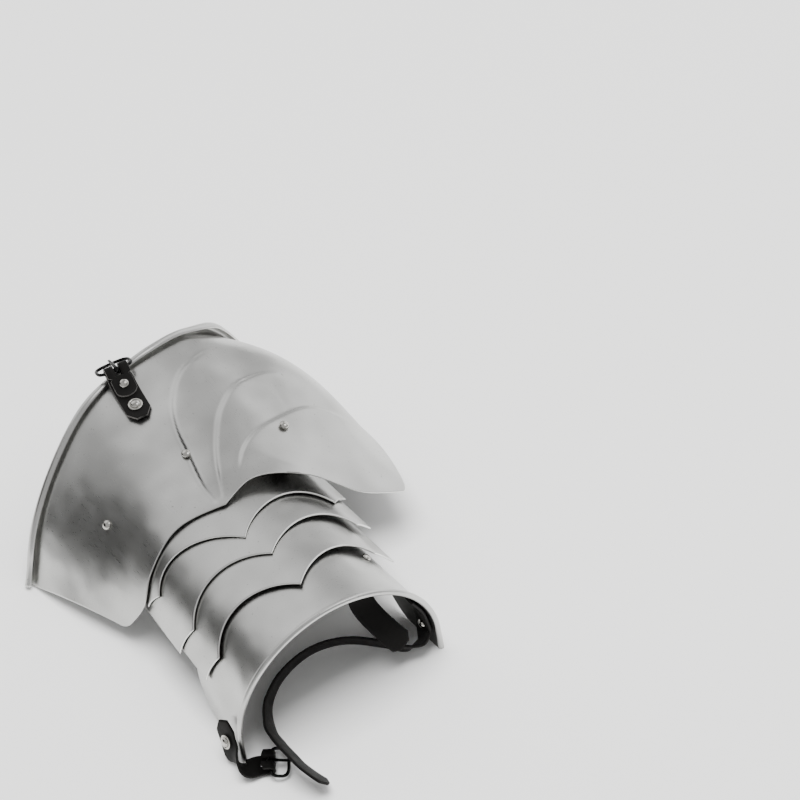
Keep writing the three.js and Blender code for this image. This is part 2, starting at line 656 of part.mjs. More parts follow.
const ARM_WASHER = { at: 0.1, lift: 1.1 };
const washerSeat = stripFrame(armTabStations)(ARM_WASHER.at);
const washerOut = washerSeat.normal.y < 0 ? washerSeat.normal : washerSeat.normal.negate();
washerSeat.at.addScaledVector(washerOut, LEATHER / 2 + ARM_WASHER.lift);
addRivet('arm_tab_washer', washerSeat.at, washerOut, true);

// Arm strap: riveted inside the cannon's right foot, then on its edge round the opening to a loose tail

const ON_EDGE = vector([0.6, -0.26, 0.757]).normalize();
const STRAP_MIDDLE = [19.8, -10, 10];
const STRAP_LEAN = radians(13);
function onEdge(at) {
  const out = vector(at).sub(vector(STRAP_MIDDLE));
  out.addScaledVector(ON_EDGE, -out.dot(ON_EDGE)).normalize();
  const across = ON_EDGE.clone().multiplyScalar(Math.cos(STRAP_LEAN))
    .addScaledVector(out, Math.sin(STRAP_LEAN));
  return { at, across: across.toArray() };
}
const armStrapStations = [
  { at: [-11.2, 71.6, 62], across: [1, 0, 0] },
  { at: [-11.2, 78.8, 46], across: [1, 0, 0] },
  { at: [-11.2, 81.6, 30], across: [1, 0, 0] },
  { at: [-10.2, 81.5, 17], across: [1, 0, 0.1] },
  { at: [-5, 75.5, 11.2], across: [0.8, -0.3, 0.5] },
  ...[[-7, 64, 10.3], [-23, 50.5, 10.3], [-40.5, 34, 10.3], [-48.5, 19.5, 10.3], [-51.5, 2, 10.3],
    [-47.5, -19, 10.3], [-39, -36, 10.3], [-26, -50, 10.3], [-4.2, -61.4, 14], [14, -65.5, 18.5],
    [34.4, -65.6, 19.3], [45.5, -64.3, 17.5], [58, -60.3, 14], [68, -55.8, 11]].map(onEdge),
];
const STRAP = { steps: 60, length: 328, point: 8, tip: 0.2, rivet: [-9.5, 81.6, 24.4] };
const strapWidth = clippedEnds(STRAP.length, 0, STRAP.point, STRAP_WIDTH, STRAP.tip);
addPiece('arm_strap', ribbon(armStrapStations, STRAP.steps, strapWidth), blackLeather());
const strapInward = new THREE.Vector3(0, -1, 0);
const strapRivet = vector(STRAP.rivet).addScaledVector(strapInward, LEATHER / 2 + SEAT_GAP);
addRivet('arm_strap_rivet', strapRivet, strapInward);

// The origin is the middle of the resting part's box, on the floor

const box = new THREE.Box3().setFromObject(pauldron, true);
const middle = box.getCenter(new THREE.Vector3());
inArmFrame.position.set(-middle.x, -middle.y, -box.min.z);

export default pauldron;
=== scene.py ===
# %% [markdown]
# # A steel pauldron, dressed in Blender
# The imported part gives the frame: where each plate, strap and buckle lies, in metres. This lesson
# rebuilds each piece finely in that same place and gives it the surface of the real one.

# %% Load the frame
import math
import bmesh
import bpy
import numpy as np
from mathutils import Matrix, Vector


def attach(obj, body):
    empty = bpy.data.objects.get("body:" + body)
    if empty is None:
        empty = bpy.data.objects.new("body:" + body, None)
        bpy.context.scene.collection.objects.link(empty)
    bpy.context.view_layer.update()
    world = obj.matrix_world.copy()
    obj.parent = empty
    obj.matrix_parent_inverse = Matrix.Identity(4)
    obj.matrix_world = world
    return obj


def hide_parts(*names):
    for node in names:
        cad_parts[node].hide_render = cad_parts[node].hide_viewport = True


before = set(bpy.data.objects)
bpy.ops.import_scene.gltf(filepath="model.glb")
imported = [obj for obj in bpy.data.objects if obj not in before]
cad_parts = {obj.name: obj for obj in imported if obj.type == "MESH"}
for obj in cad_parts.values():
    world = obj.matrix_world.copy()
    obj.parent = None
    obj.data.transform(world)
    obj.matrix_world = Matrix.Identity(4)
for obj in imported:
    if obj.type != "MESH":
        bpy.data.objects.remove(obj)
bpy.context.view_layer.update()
print("nodes in the frame:", len(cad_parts))

# %% [markdown]
# The armourer's sizes are in millimetres, measured from the rim of the upper-arm plate: along the
# arm, across it, and up from the floor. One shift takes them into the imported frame.

# %% Sizes shared by all pieces
RIM_IN_FRAME = np.array([124.566, -9.050, 0.0])
SHEET = 1.3
LEATHER = 2.2
STRAP_WIDTH = 20.0


def in_frame(points_mm):
    return (np.asarray(points_mm, float) + RIM_IN_FRAME) / 1000


print("rim of the arm plate lies at", in_frame([0, 0, 0]).round(4))

# %% [markdown]
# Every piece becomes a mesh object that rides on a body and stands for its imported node. Smooth
# shading suits them all, because each edge is rounded in the mesh itself.

# %% A mesh piece that stands for a node
def closed_mesh(name, points_mm, faces):
    mesh = bpy.data.meshes.new(name)
    mesh.from_pydata(in_frame(points_mm).tolist(), [], faces)
    shell = bmesh.new()
    shell.from_mesh(mesh)
    bmesh.ops.recalc_face_normals(shell, faces=shell.faces)
    shell.to_mesh(mesh)
    shell.free()
    return mesh


def piece(name, points_mm, faces, material, node, body="armour", slot="steel"):
    mesh = closed_mesh(name, points_mm, faces)
    mesh.polygons.foreach_set("use_smooth", [True] * len(mesh.polygons))
    mesh.materials.append(material)
    made = bpy.data.objects.new(name, mesh)
    bpy.context.collection.objects.link(made)
    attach(made, body)
    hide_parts(node)
    print(f"{name}: {len(faces)} faces")
    return made


# %% [markdown]
# ## Materials
# Colours are picked as sRGB hex values, as on a screen, and the shader wants linear light. One
# function turns them, and another adds a node with its settings and its links.

# %% Colour and node helpers
def linear(hex_colour):
    parts = [int(hex_colour[i:i + 2], 16) / 255 for i in (1, 3, 5)]
    return [*(p / 12.92 if p <= 0.04045 else ((p + 0.055) / 1.055) ** 2.4 for p in parts), 1.0]


def add_node(tree, kind, inputs=(), **settings):
    made = tree.nodes.new(kind)
    for key, value in settings.items():
        setattr(made, key, value)
    for key, value in dict(inputs).items():
        if isinstance(value, bpy.types.NodeSocket):
            tree.links.new(value, made.inputs[key])
        else:
            made.inputs[key].default_value = value
    return made


def new_material(name):
    material = bpy.data.materials.new(name)
    material.use_nodes = True
    tree = material.node_tree
    return material, tree, tree.nodes["Principled BSDF"]


def per_metre(feature_mm):
    return 1000 / feature_mm


print("mid grey is", [round(v, 3) for v in linear("#808080")])

# %% [markdown]
# ### Satin polished mild steel
# The plates are mild steel sheet, hammered to shape, ground and then polished with a fine mop. The
# eye sees a soft metal with broad blurred reflections, low waves where the hammer went, faint grit
# lines some tenths of a millimetre apart and a few dull specks. The grit is drawn at 0.7 mm, since
# the real 0.1 mm would not show.

# %% Satin steel
HAMMER_WAVE = 34
GRIT_LINE = 0.7
SPECK = 2.6


def satin_steel(name, grit_along):
    material, tree, shader = new_material(name)
    where = add_node(tree, "ShaderNodeTexCoord").outputs["Object"]
    stretch = [0.03 if axis == grit_along else 1.0 for axis in "XYZ"]
    along_grit = add_node(tree, "ShaderNodeMapping", {"Vector": where, "Scale": stretch})
    wave = add_node(tree, "ShaderNodeTexNoise", {
        "Vector": where, "Scale": per_metre(HAMMER_WAVE), "Detail": 1.2, "Roughness": 0.4})
    grit = add_node(tree, "ShaderNodeTexNoise", {
        "Vector": along_grit.outputs[0], "Scale": per_metre(GRIT_LINE), "Detail": 4.0})
    speck = add_node(tree, "ShaderNodeTexNoise", {
        "Vector": where, "Scale": per_metre(SPECK), "Detail": 3.0, "Roughness": 0.7})
    dull = add_node(tree, "ShaderNodeMapRange", {
        "Value": speck.outputs[0], "From Min": 0.66, "From Max": 0.74, "To Min": 0.0, "To Max": 1.0})
    tint = add_node(tree, "ShaderNodeMix", {
        "Factor": wave.outputs[0], "A": linear("#a4a4a2"), "B": linear("#d0d0ce")}, data_type="RGBA")
    specked = add_node(tree, "ShaderNodeMix", {
        "Factor": dull.outputs[0], "A": tint.outputs["Result"], "B": linear("#8d8d8b")},
        data_type="RGBA")
    tree.links.new(specked.outputs["Result"], shader.inputs["Base Color"])
    grit_rough = add_node(tree, "ShaderNodeMapRange", {
        "Value": grit.outputs[0], "From Min": 0.3, "From Max": 0.7, "To Min": 0.27, "To Max": 0.33})
    rough = add_node(tree, "ShaderNodeMath", {
        0: dull.outputs[0], 1: 0.12, 2: grit_rough.outputs[0]}, operation="MULTIPLY_ADD")
    tree.links.new(rough.outputs[0], shader.inputs["Roughness"])
    waves = add_node(tree, "ShaderNodeBump", {
        "Height": wave.outputs[0], "Strength": 0.5, "Distance": 0.0035})
    lines = add_node(tree, "ShaderNodeBump", {
        "Height": grit.outputs[0], "Normal": waves.outputs[0], "Strength": 0.03, "Distance": 0.0002})
    tree.links.new(lines.outputs[0], shader.inputs["Normal"])
    shader.inputs["Metallic"].default_value = 1.0
    return material


plate_steel = satin_steel("satin_polished_steel_plate", "X")
lame_steel = satin_steel("satin_polished_steel_lames", "Y")
print("steel finishes:", plate_steel.name, lame_steel.name)

# %% [markdown]
# The cut edges were filed and then polished, and their steel is given a paler colour than the faces:
# a painted highlight for the bright line along each scallop. The insides were never polished, so they
# are rougher, and their dark colour is painted shade. Each lame mirrors the darkened inside of the
# plate above it, which draws the soft dark line under every scallop, and the arm plate's inside looks
# dark the same way. Where the sheet is rolled outwards, its inside shows as the roll, so it is
# polished there.

# %% Filed edge with painted highlight, rough inside with painted shade
def plain_steel(name, colour, rough):
    material, _, shader = new_material(name)
    shader.inputs["Base Color"].default_value = linear(colour)
    shader.inputs["Metallic"].default_value = 1.0
    shader.inputs["Roughness"].default_value = rough
    return material


# the inside's dark colour is painted shade; its roughness is the unpolished skin
unpolished_inside_painted_shade = plain_steel("unpolished_steel_inside_painted_shade", "#585856", 0.5)
# the edge's pale colour is a painted highlight
filed_edge_painted_highlight = plain_steel("filed_steel_edge_painted_highlight", "#efefec", 0.32)
print("other steel finishes:", filed_edge_painted_highlight.name, unpolished_inside_painted_shade.name)

# %% [markdown]
# ### Black bridle leather
# The straps are vegetable-tanned leather dyed black and waxed. The eye sees a matte near-black
# with a fine pebble grain about a millimetre wide. The neck tab's cut edges are rubbed lighter,
# which is kept as a value on the mesh, so that it stays with the strap in any view.

# %% Black leather
GRAIN = 1.1
CREASE = 9.0


def black_leather():
    material, tree, shader = new_material("black_waxed_leather")
    where = add_node(tree, "ShaderNodeTexCoord").outputs["Object"]
    grain = add_node(tree, "ShaderNodeTexVoronoi", {"Vector": where, "Scale": per_metre(GRAIN)})
    crease = add_node(tree, "ShaderNodeTexNoise", {
        "Vector": where, "Scale": per_metre(CREASE), "Detail": 5.0, "Roughness": 0.65})
    edge = add_node(tree, "ShaderNodeAttribute", attribute_name="rubbed")
    dye = add_node(tree, "ShaderNodeMix", {
        "Factor": crease.outputs[0], "A": linear("#151413"), "B": linear("#242322")}, data_type="RGBA")
    rubbed = add_node(tree, "ShaderNodeMix", {
        "Factor": edge.outputs["Fac"], "A": dye.outputs["Result"], "B": linear("#767472")},
        data_type="RGBA")
    tree.links.new(rubbed.outputs["Result"], shader.inputs["Base Color"])
    wax = add_node(tree, "ShaderNodeMapRange", {
        "Value": crease.outputs[0], "From Min": 0.3, "From Max": 0.7, "To Min": 0.5, "To Max": 0.7})
    tree.links.new(wax.outputs[0], shader.inputs["Roughness"])
    pebble = add_node(tree, "ShaderNodeBump", {
        "Height": grain.outputs["Distance"], "Strength": 0.35, "Distance": 0.0002})
    soft = add_node(tree, "ShaderNodeBump", {
        "Height": crease.outputs[0], "Normal": pebble.outputs[0], "Strength": 0.3, "Distance": 0.0005})
    tree.links.new(soft.outputs[0], shader.inputs["Normal"])
    shader.inputs["Specular IOR Level"].default_value = 0.12
    return material


leather = black_leather()
print("leather finish:", leather.name)

# %% [markdown]
# ### Nickel-plated rivets and black-plated buckles
# The rivets are domed steel under bright nickel: small, smooth and mirror-like, with slight dents.
# The buckles are steel wire under black plating, which keeps a dark gloss with worn, paler spots.

# %% Plated metals
DENT = 2.2
PLATING_WEAR = 3.5


def plated(name, fresh, worn, rough, share):
    material, tree, shader = new_material(name)
    where = add_node(tree, "ShaderNodeTexCoord").outputs["Object"]
    wear = add_node(tree, "ShaderNodeTexNoise", {
        "Vector": where, "Scale": per_metre(PLATING_WEAR), "Detail": 4.0})
    spots = add_node(tree, "ShaderNodeMapRange", {
        "Value": wear.outputs[0], "From Min": 0.5, "From Max": 0.72, "To Min": 0.0, "To Max": share})
    tint = add_node(tree, "ShaderNodeMix", {
        "Factor": spots.outputs[0], "A": linear(fresh), "B": linear(worn)}, data_type="RGBA")
    tree.links.new(tint.outputs["Result"], shader.inputs["Base Color"])
    dent = add_node(tree, "ShaderNodeTexNoise", {"Vector": where, "Scale": per_metre(DENT)})
    bump = add_node(tree, "ShaderNodeBump", {
        "Height": dent.outputs[0], "Strength": 0.3, "Distance": 0.0003})
    tree.links.new(bump.outputs[0], shader.inputs["Normal"])
    shader.inputs["Metallic"].default_value = 1.0
    shader.inputs["Roughness"].default_value = rough
    return material


nickel = plated("bright_nickel_plating", "#bdbbb6", "#84827c", 0.1, 0.7)
black_plating = plated("black_plated_steel", "#1d1d1d", "#6b6b6b", 0.34, 0.5)
print("plated finishes:", nickel.name, black_plating.name)

# %% [markdown]
# ## Sheet steel
# A plate is a grid of points on its outer face. A second grid lies one sheet thickness under it, and
# the cut edge between them is eased by a small round, as a file leaves it. That round catches the
# light as the bright line along each scallop. A solidify modifier could do this, but it leaves the
# edge sharp, so the four rings of the edge are laid one by one.

# %% Sheet from a grid
EASED = 0.35


def unit(vectors):
    return vectors / np.linalg.norm(vectors, axis=-1, keepdims=True)


def grid_normals(grid):
    normals = unit(np.cross(np.gradient(grid, axis=1), np.gradient(grid, axis=0)))
    middle = normals[grid.shape[0] // 2, grid.shape[1] // 2]
    return normals * np.sign(middle[2])


def border(rows, columns):
    top = [(0, c) for c in range(columns)]
    right = [(r, columns - 1) for r in range(1, rows)]
    bottom = [(rows - 1, c) for c in range(columns - 2, -1, -1)]
    left = [(r, 0) for r in range(rows - 2, 0, -1)]
    return top + right + bottom + left


def eased_grid(grid):
    pulled = grid.copy()
    pulled[0] += EASED * unit(grid[1] - grid[0])
    pulled[-1] += EASED * unit(grid[-2] - grid[-1])
    pulled[:, 0] += EASED * unit(grid[:, 1] - grid[:, 0])
    pulled[:, -1] += EASED * unit(grid[:, -2] - grid[:, -1])
    return pulled


def sheet_mesh(grid, outward):
    rows, columns = grid.shape[:2]
    count = rows * columns
    face = eased_grid(grid)
    edge = border(rows, columns)
    at_edge = np.array([grid[r, c] for r, c in edge])
    out = np.array([outward[r, c] for r, c in edge])
    rings = [at_edge - EASED * out, at_edge - (SHEET - EASED) * out]
    points = np.concatenate([face.reshape(-1, 3), (face - SHEET * outward).reshape(-1, 3), *rings])
    faces = []
    for r in range(rows - 1):
        for c in range(columns - 1):
            a = r * columns + c
            faces.append((a, a + columns, a + columns + 1, a + 1))
            b = count + a
            faces.append((b, b + 1, b + columns + 1, b + columns))
    top = [r * columns + c for r, c in edge]
    loops = [top, [2 * count + i for i in range(len(edge))],
             [2 * count + len(edge) + i for i in range(len(edge))], [count + i for i in top]]
    for upper, lower in zip(loops, loops[1:]):
        for i in range(len(edge)):
            j = (i + 1) % len(edge)
            faces.append((upper[i], upper[j], lower[j], lower[i]))
    return points, faces, 3 * len(edge)


def plate_piece(name, grid, material, node, rolled_first=0, rolled_last=0):
    points, faces, edge_faces = sheet_mesh(grid, grid_normals(grid))
    made = piece(name, points, faces, material, node)
    # slot 1: filed edge with its painted highlight colour; slot 2: unpolished inside with its painted
    # shade colour
    made.data.materials.append(filed_edge_painted_highlight)
    made.data.materials.append(unpolished_inside_painted_shade)
    rows, columns = grid.shape[0] - 1, grid.shape[1] - 1
    slots = []
    for r in range(rows):
        turned_out = r < rolled_first or r >= rows - rolled_last
        slots += [0, 0 if turned_out else 2] * columns
    slots += [1] * edge_faces
    made.data.polygons.foreach_set("material_index", slots)
    return made


print("cut edges are eased by", EASED, "mm")

# %% [markdown]
# ## Shoulder plate
# The big plate was raised from one sheet. Nine lines run over it from the neck edge to the arm edge,
# and each is given by three points. A smooth curve joins the lines round the shoulder, and a parabola
# joins the three points along each line. The curve is the centripetal Catmull-Rom spline, which goes
# through every point without overshooting.

# %% Curve through points
def curve_through(points):
    points = np.asarray(points, float)
    ends = [2 * points[0] - points[1], 2 * points[-1] - points[-2]]
    held = np.vstack([ends[0], points, ends[1]])

    def at(t):
        place = np.clip(t, 0, 1) * (len(points) - 1)
        i = min(int(place), len(points) - 2)
        w = place - i
        p0, p1, p2, p3 = held[i:i + 4]
        gaps = [np.sqrt(np.linalg.norm(b - a)) for a, b in ((p0, p1), (p1, p2), (p2, p3))]
        d0, d1, d2 = gaps
        m1 = ((p1 - p0) / d0 - (p2 - p0) / (d0 + d1) + (p2 - p1) / d1) * d1
        m2 = ((p2 - p1) / d1 - (p3 - p1) / (d1 + d2) + (p3 - p2) / d2) * d1
        return (p1 + m1 * w + (-3 * p1 + 3 * p2 - 2 * m1 - m2) * w ** 2
                + (2 * p1 - 2 * p2 + m1 + m2) * w ** 3)

    return at


PLATE_LINES = np.array([
    [[-248, -125, 0.8], [-200, -112, 14], [-154, -95.5, 15]],
    [[-262, -103, 46], [-203, -93, 43], [-140, -84.5, 47]],
    [[-277, -70, 80], [-209, -71, 67], [-147, -71, 68]],
    [[-290, -34, 101], [-216, -38, 92.5], [-154, -41, 90.5]],
    [[-299, 0, 105.5], [-222, 0, 104], [-150, 0, 100.5]],
    [[-304, 36, 105], [-224, 37, 106], [-150, 35, 102]],
    [[-310, 68, 94], [-223, 77, 98], [-137, 68, 91]],
    [[-312, 98, 66], [-220, 125, 78], [-118, 102, 62]],
    [[-298, 126, 0.8], [-205, 147, 28], [-112, 136, 43]]])
LAST_LINE = len(PLATE_LINES) - 1
neck_curve, middle_curve, arm_curve = (curve_through(PLATE_LINES[:, k]) for k in range(3))


def plain_plate(lines, runs):
    t = lines / LAST_LINE
    flat = t.reshape(-1)
    neck, middle, arm = (np.array([curve(v) for v in flat]).reshape(*t.shape, 3)
                         for curve in (neck_curve, middle_curve, arm_curve))
    run = runs[..., None]
    return (2 * (run - 0.5) * (run - 1) * neck - 4 * run * (run - 1) * middle
            + 2 * run * (run - 0.5) * arm)


print("middle of the plate:", plain_plate(np.array([4.0]), np.array([0.5])).round(1))

# %% [markdown]
# Three flutes fan over the crown like petals. Each is a step along a line on the plate: steep on its
# neck side and fading slowly on its elbow side. The lines' feet are also chased in with a blunt tool,
# the first one deepest, which gives the dark crease between the cusp and the middle rivet.

# %% Flutes
FLUTES = [
    [(3.91, 1.02), (3.91, 0.87), (4.08, 0.65), (4.24, 0.48), (4.54, 0.33), (5.1, 0.2), (5.79, 0.15),
     (6.19, 0.13)],
    [(4.03, 1.01), (4.23, 0.9), (4.44, 0.79), (4.73, 0.67), (5.19, 0.52), (5.8, 0.41), (6.31, 0.39),
     (6.73, 0.42)],
    [(4.66, 0.93), (4.99, 0.82), (5.41, 0.73), (6, 0.67), (6.55, 0.64), (6.91, 0.67), (7.45, 0.68)]]
FLUTE_STEP = 1.9
FLUTE_FADE = 26
FLUTE_BACK, FLUTE_EDGE = 1, 2.4
FLUTE_FOOT, FLUTE_TAIL = 0.22, 0.75
FLUTE_POINTS = 160
PAST_LINE_END = 1.2
CREASE_DEPTHS = [0.5, 0.25, 0.2]
CREASE_HALF = 1.3
CREASE_START, CREASE_FADE = 0.04, (0.3, 0.6)


def eased_step(value, low, high):
    share = np.clip((value - low) / (high - low), 0, 1)
    return share * share * (3 - 2 * share)


def flute_line(rows):
    spots = np.array(rows, float)
    curve = curve_through(plain_plate(spots[:, 0], spots[:, 1]))
    line = np.array([curve(t) for t in np.linspace(0, 1, FLUTE_POINTS)])
    return line, unit(np.gradient(line, axis=0))


def flute_height(points, outward):
    here, out = points.reshape(-1, 3), outward.reshape(-1, 3)
    total = np.zeros(len(here))
    for (line, heading), depth in zip(flute_lines, CREASE_DEPTHS):
        apart = np.linalg.norm(here[:, None] - line[None], axis=2)
        nearest = apart.argmin(axis=1)
        gap = apart.min(axis=1)
        offset = here - line[nearest]
        inside = -np.sum(np.cross(heading[nearest], offset) * out, axis=1)
        inside = np.where(gap > np.abs(inside) + PAST_LINE_END, np.sign(inside) * gap, inside)
        share = nearest / (FLUTE_POINTS - 1)
        ends = eased_step(share, 0, FLUTE_FOOT) * (1 - eased_step(share, FLUTE_TAIL, 1))
        step = eased_step(inside, -FLUTE_BACK, FLUTE_EDGE) * np.exp(-(inside / FLUTE_FADE) ** 2)
        groove = np.exp(-((inside + FLUTE_BACK) / CREASE_HALF) ** 2)
        crease = depth * (1 - eased_step(share, *CREASE_FADE)) * groove
        total += ends * FLUTE_STEP * step - crease * eased_step(share, 0, CREASE_START)
    return total.reshape(points.shape[:-1])


flute_lines = [flute_line(rows) for rows in FLUTES]
print("flutes:", len(flute_lines))

# %% [markdown]
# The arm edge has one cusp in its middle and rounded corners, so the grid's runs are stretched to
# follow it. The neck edge is rolled outwards round a small radius. The roll is thicker at its first
# end and at a lip near its other end, and thinner where the tab climbs over it.

# %% Plate surface
ROLL_TURN = math.radians(250)
NECK_ROLL = 1.5
END_ROLL, END_LINES = 0.9, 0.5
LIP_ROLL, LIP_LINE, LIP_LINES = 1.8, 6.7, 0.4
FREE_ROLL, TAB_LINE, TAB_LINES = 0.8, 4, 0.6
CUSP_LINE = 4
CUSP_REACH, CUSP_POWER = 0.044, 1.7
CUSP_LEFT, CUSP_RIGHT = 1.3, 0.85
CORNER_REACH = 0.06
CORNER_LEFT, CORNER_RIGHT = 0.24, 0.1


def plate_end(lines):
    side = np.where(lines < CUSP_LINE, CUSP_LEFT, CUSP_RIGHT)
    away = np.minimum(np.abs(lines - CUSP_LINE) / side, 1)
    return 1 + CUSP_REACH * (1 - away) ** CUSP_POWER


def neck_roll_radius(lines):
    end = np.maximum(0, 1 - lines / END_LINES)
    lip = np.exp(-((lines - LIP_LINE) / LIP_LINES) ** 2)
    clear_of_tab = 1 - np.exp(-((lines - TAB_LINE) / TAB_LINES) ** 2)
    return NECK_ROLL + END_ROLL * end ** 2 + LIP_ROLL * lip + FREE_ROLL * clear_of_tab * (1 - end)


def rolled_rows(edge, radius, off_edge, outward, turns):
    return np.array([edge + radius * (np.sin(turn) * off_edge + (1 - np.cos(turn)) * outward)
                     for turn in turns])


def corner_in(share, depth):
    into = np.clip((share - 1 + CORNER_REACH) / CORNER_REACH, 0, 1)
    return depth * (1 - np.sqrt(1 - into ** 2))


def plate_face(columns, shares):
    across = np.linspace(0, 1, columns)[None, :]
    share = np.asarray(shares)[:, None]
    first = corner_in(share, CORNER_LEFT)
    last = LAST_LINE - corner_in(share, CORNER_RIGHT)
    lines = first + (last - first) * across
    plain = plain_plate(lines, share * plate_end(lines))
    normals = grid_normals(plain)
    return plain + flute_height(plain, normals)[..., None] * normals, normals


print("roll turns", round(math.degrees(ROLL_TURN)), "degrees")

# %% [markdown]
# The rows are closest near the arm edge, where the corners turn. The roll's rows are added in front,
# each turned a little further out of the neck edge.

# %% Shoulder plate mesh
PLATE_COLUMNS, PLATE_ROWS = 240, 96
ROW_CROWDING = 1.35
ROLL_ROWS = 14
plate_rows = 1 - (1 - np.linspace(0, 1, PLATE_ROWS)) ** ROW_CROWDING
face, outward = plate_face(PLATE_COLUMNS, plate_rows)
off_plate = unit(face[0] - face[1])
radius = neck_roll_radius(np.linspace(0, LAST_LINE, PLATE_COLUMNS))[:, None]
turns = np.linspace(ROLL_TURN, 0, ROLL_ROWS, endpoint=False)
plate_grid = np.concatenate([rolled_rows(face[0], radius, off_plate, outward[0], turns), face])
plate_piece("shoulder_plate", plate_grid, plate_steel, "main_plate", rolled_first=ROLL_ROWS)
print("plate reaches", plate_grid.min(axis=(0, 1)).round(1), plate_grid.max(axis=(0, 1)).round(1))

# %% [markdown]
# ## Lames and upper-arm plate
# Below the shoulder, four shells go round the arm, each tucked under the one above. A shell is half
# an ellipse that opens towards the elbow, and its ends run straight on. The lames' lower edges are cut
# in circular scallops that meet in cusps.

# %% Shells round the arm
AXIS_HEIGHT = 23
SHELLS = {
    "lame_1": dict(at=-108, left=88.2, right=97.5, spread=0.07, top=99.5, rise=0.08, tail=60),
    "lame_2": dict(at=-80, left=88.2, right=96.5, spread=0.07, top=101.5, rise=0.13, tail=60),
    "lame_3": dict(at=-36, left=89, right=92, spread=0.07, top=106, rise=0.15, tail=60),
    "arm_cannon": dict(at=0, left=88.5, right=86.5, spread=0.07, top=107.5, rise=0.15, tail=90)}


def shell_points(name, along, degrees):
    shell = SHELLS[name]
    opening = along - shell["at"]
    width = np.where(degrees < 0, shell["left"], shell["right"]) + shell["spread"] * opening
    height = shell["top"] + shell["rise"] * opening - AXIS_HEIGHT
    limit = np.where(degrees < 0, 90, shell["tail"])
    bent = np.radians(np.minimum(np.abs(degrees), limit))
    straight = np.radians(np.maximum(np.abs(degrees) - limit, 0))
    across = np.sin(bent) + straight * np.cos(bent)
    up = np.cos(bent) - straight * np.sin(bent)
    return np.stack([along + 0 * degrees, np.sign(degrees) * width * across,
                     AXIS_HEIGHT + height * up], axis=-1)


def shell_frame(name, along, degrees, reach=0.2):
    centre = shell_points(name, np.float64(along), np.float64(degrees))
    across = unit(shell_points(name, np.float64(along), np.float64(degrees + reach)) - centre)
    down_arm = unit(shell_points(name, np.float64(along + reach), np.float64(degrees)) - centre)
    out = unit(np.cross(down_arm, across))
    return centre, across, out if out[2] > 0 else -out


print("top of the arm plate's rim:", shell_points("arm_cannon", np.float64(0), np.float64(0)))

# %% [markdown]
# A scallop is an arc of a circle over its chord. Its depth at each column pulls the edge back.

# %% Lames
LAMES = {
    "lame_1": (-170, [[-72, -138], [-60, -130], [-3.4, -107], [54, -118], [73, -133]],
               [1.5, 19, 20, 1.5]),
    "lame_2": (-152, [[-77.7, -88.5], [-57, -81.5], [0.9, -79.5], [57.5, -91.5], [72, -95]],
               [1.5, 17, 17.5, 1.5]),
    "lame_3": (-116, [[-75.6, -51], [-57, -44.5], [0.6, -36.8], [55, -55.5], [72.8, -56.5]],
               [1.5, 19, 16, 1.5])}
SCALLOP_COLUMNS = [12, 60, 60, 12]
LAME_ROWS = 40


def scallop_dip(share, chord, sag):
    radius = (chord * chord / 4 + sag * sag) / (2 * sag)
    return np.sqrt(radius ** 2 - ((share - 0.5) * chord) ** 2) - (radius - sag)


def scalloped_edge(name, corners, sags):
    degrees, edge = [], []
    per_degree = math.radians(SHELLS[name]["left"])
    for k, (start, end) in enumerate(zip(corners, corners[1:])):
        share = np.linspace(0, 1, SCALLOP_COLUMNS[k], endpoint=k == len(sags) - 1)
        degrees.append(start[0] + (end[0] - start[0]) * share)
        chord = (end[0] - start[0]) * per_degree
        edge.append(start[1] + (end[1] - start[1]) * share - scallop_dip(share, chord, sags[k]))
    return np.concatenate(degrees), np.concatenate(edge)


for name, (top_edge, corners, sags) in LAMES.items():
    degrees, edge = scalloped_edge(name, corners, sags)
    share = np.linspace(0, 1, LAME_ROWS)[:, None]
    along = top_edge + (edge[None] - top_edge) * share
    grid = shell_points(name, along, degrees[None] + 0 * along)
    plate_piece(f"scalloped_{name}", grid, lame_steel, name)

# %% [markdown]
# The upper-arm plate stands on its two feet near the rim and is cut away towards the lames. Its rim is
# rolled outwards like the neck edge.

# %% Upper-arm plate
CANNON_TOP = -76
FOOT, FOOT_RISE, FOOT_RUN = -36, 30, 31
CANNON_COLUMNS, CANNON_ROWS = 220, 60
RIM_ROLL_RADIUS = 1.1
DOWN_ARM = np.array([1, 0, 0])


def cannon_end(along):
    rise = FOOT_RISE * (np.maximum(FOOT - along, 0) / FOOT_RUN) ** 2
    height = shell_points("arm_cannon", along, 0 * along)[..., 2] - AXIS_HEIGHT
    drop = AXIS_HEIGHT - rise
    return np.where(drop >= 0, 90 + np.degrees(drop / height),
                    np.degrees(np.arccos(np.clip(-drop / height, -1, 1))))


along = np.linspace(CANNON_TOP, 0, CANNON_ROWS)[:, None]
share = np.linspace(-1, 1, CANNON_COLUMNS)[None]
cannon_face = shell_points("arm_cannon", along + 0 * share, share * cannon_end(along))
rim_out = unit(grid_normals(cannon_face)[-1] * (1 - DOWN_ARM))
turns = np.linspace(0, ROLL_TURN, ROLL_ROWS + 1)[1:]
rim_roll = rolled_rows(cannon_face[-1], RIM_ROLL_RADIUS, DOWN_ARM, rim_out, turns)
cannon_grid = np.concatenate([cannon_face, rim_roll])
plate_piece("upper_arm_plate", cannon_grid, lame_steel, "arm_cannon", rolled_last=ROLL_ROWS)

# %% [markdown]
# ## Leather strips
# A strip follows a curve through its stations, and each station says which way the strip lies across.
# Its section is a flat oval-cornered bar, so the edges look cut and rubbed. Edge points carry the
# rubbed value that the leather's colour reads.

# %% Strip of leather
SECTION_ROUND = 0.7
RUBBED_RIM = 0.3
CLIPPED_END = 0.45
NEARBY = 1e-4


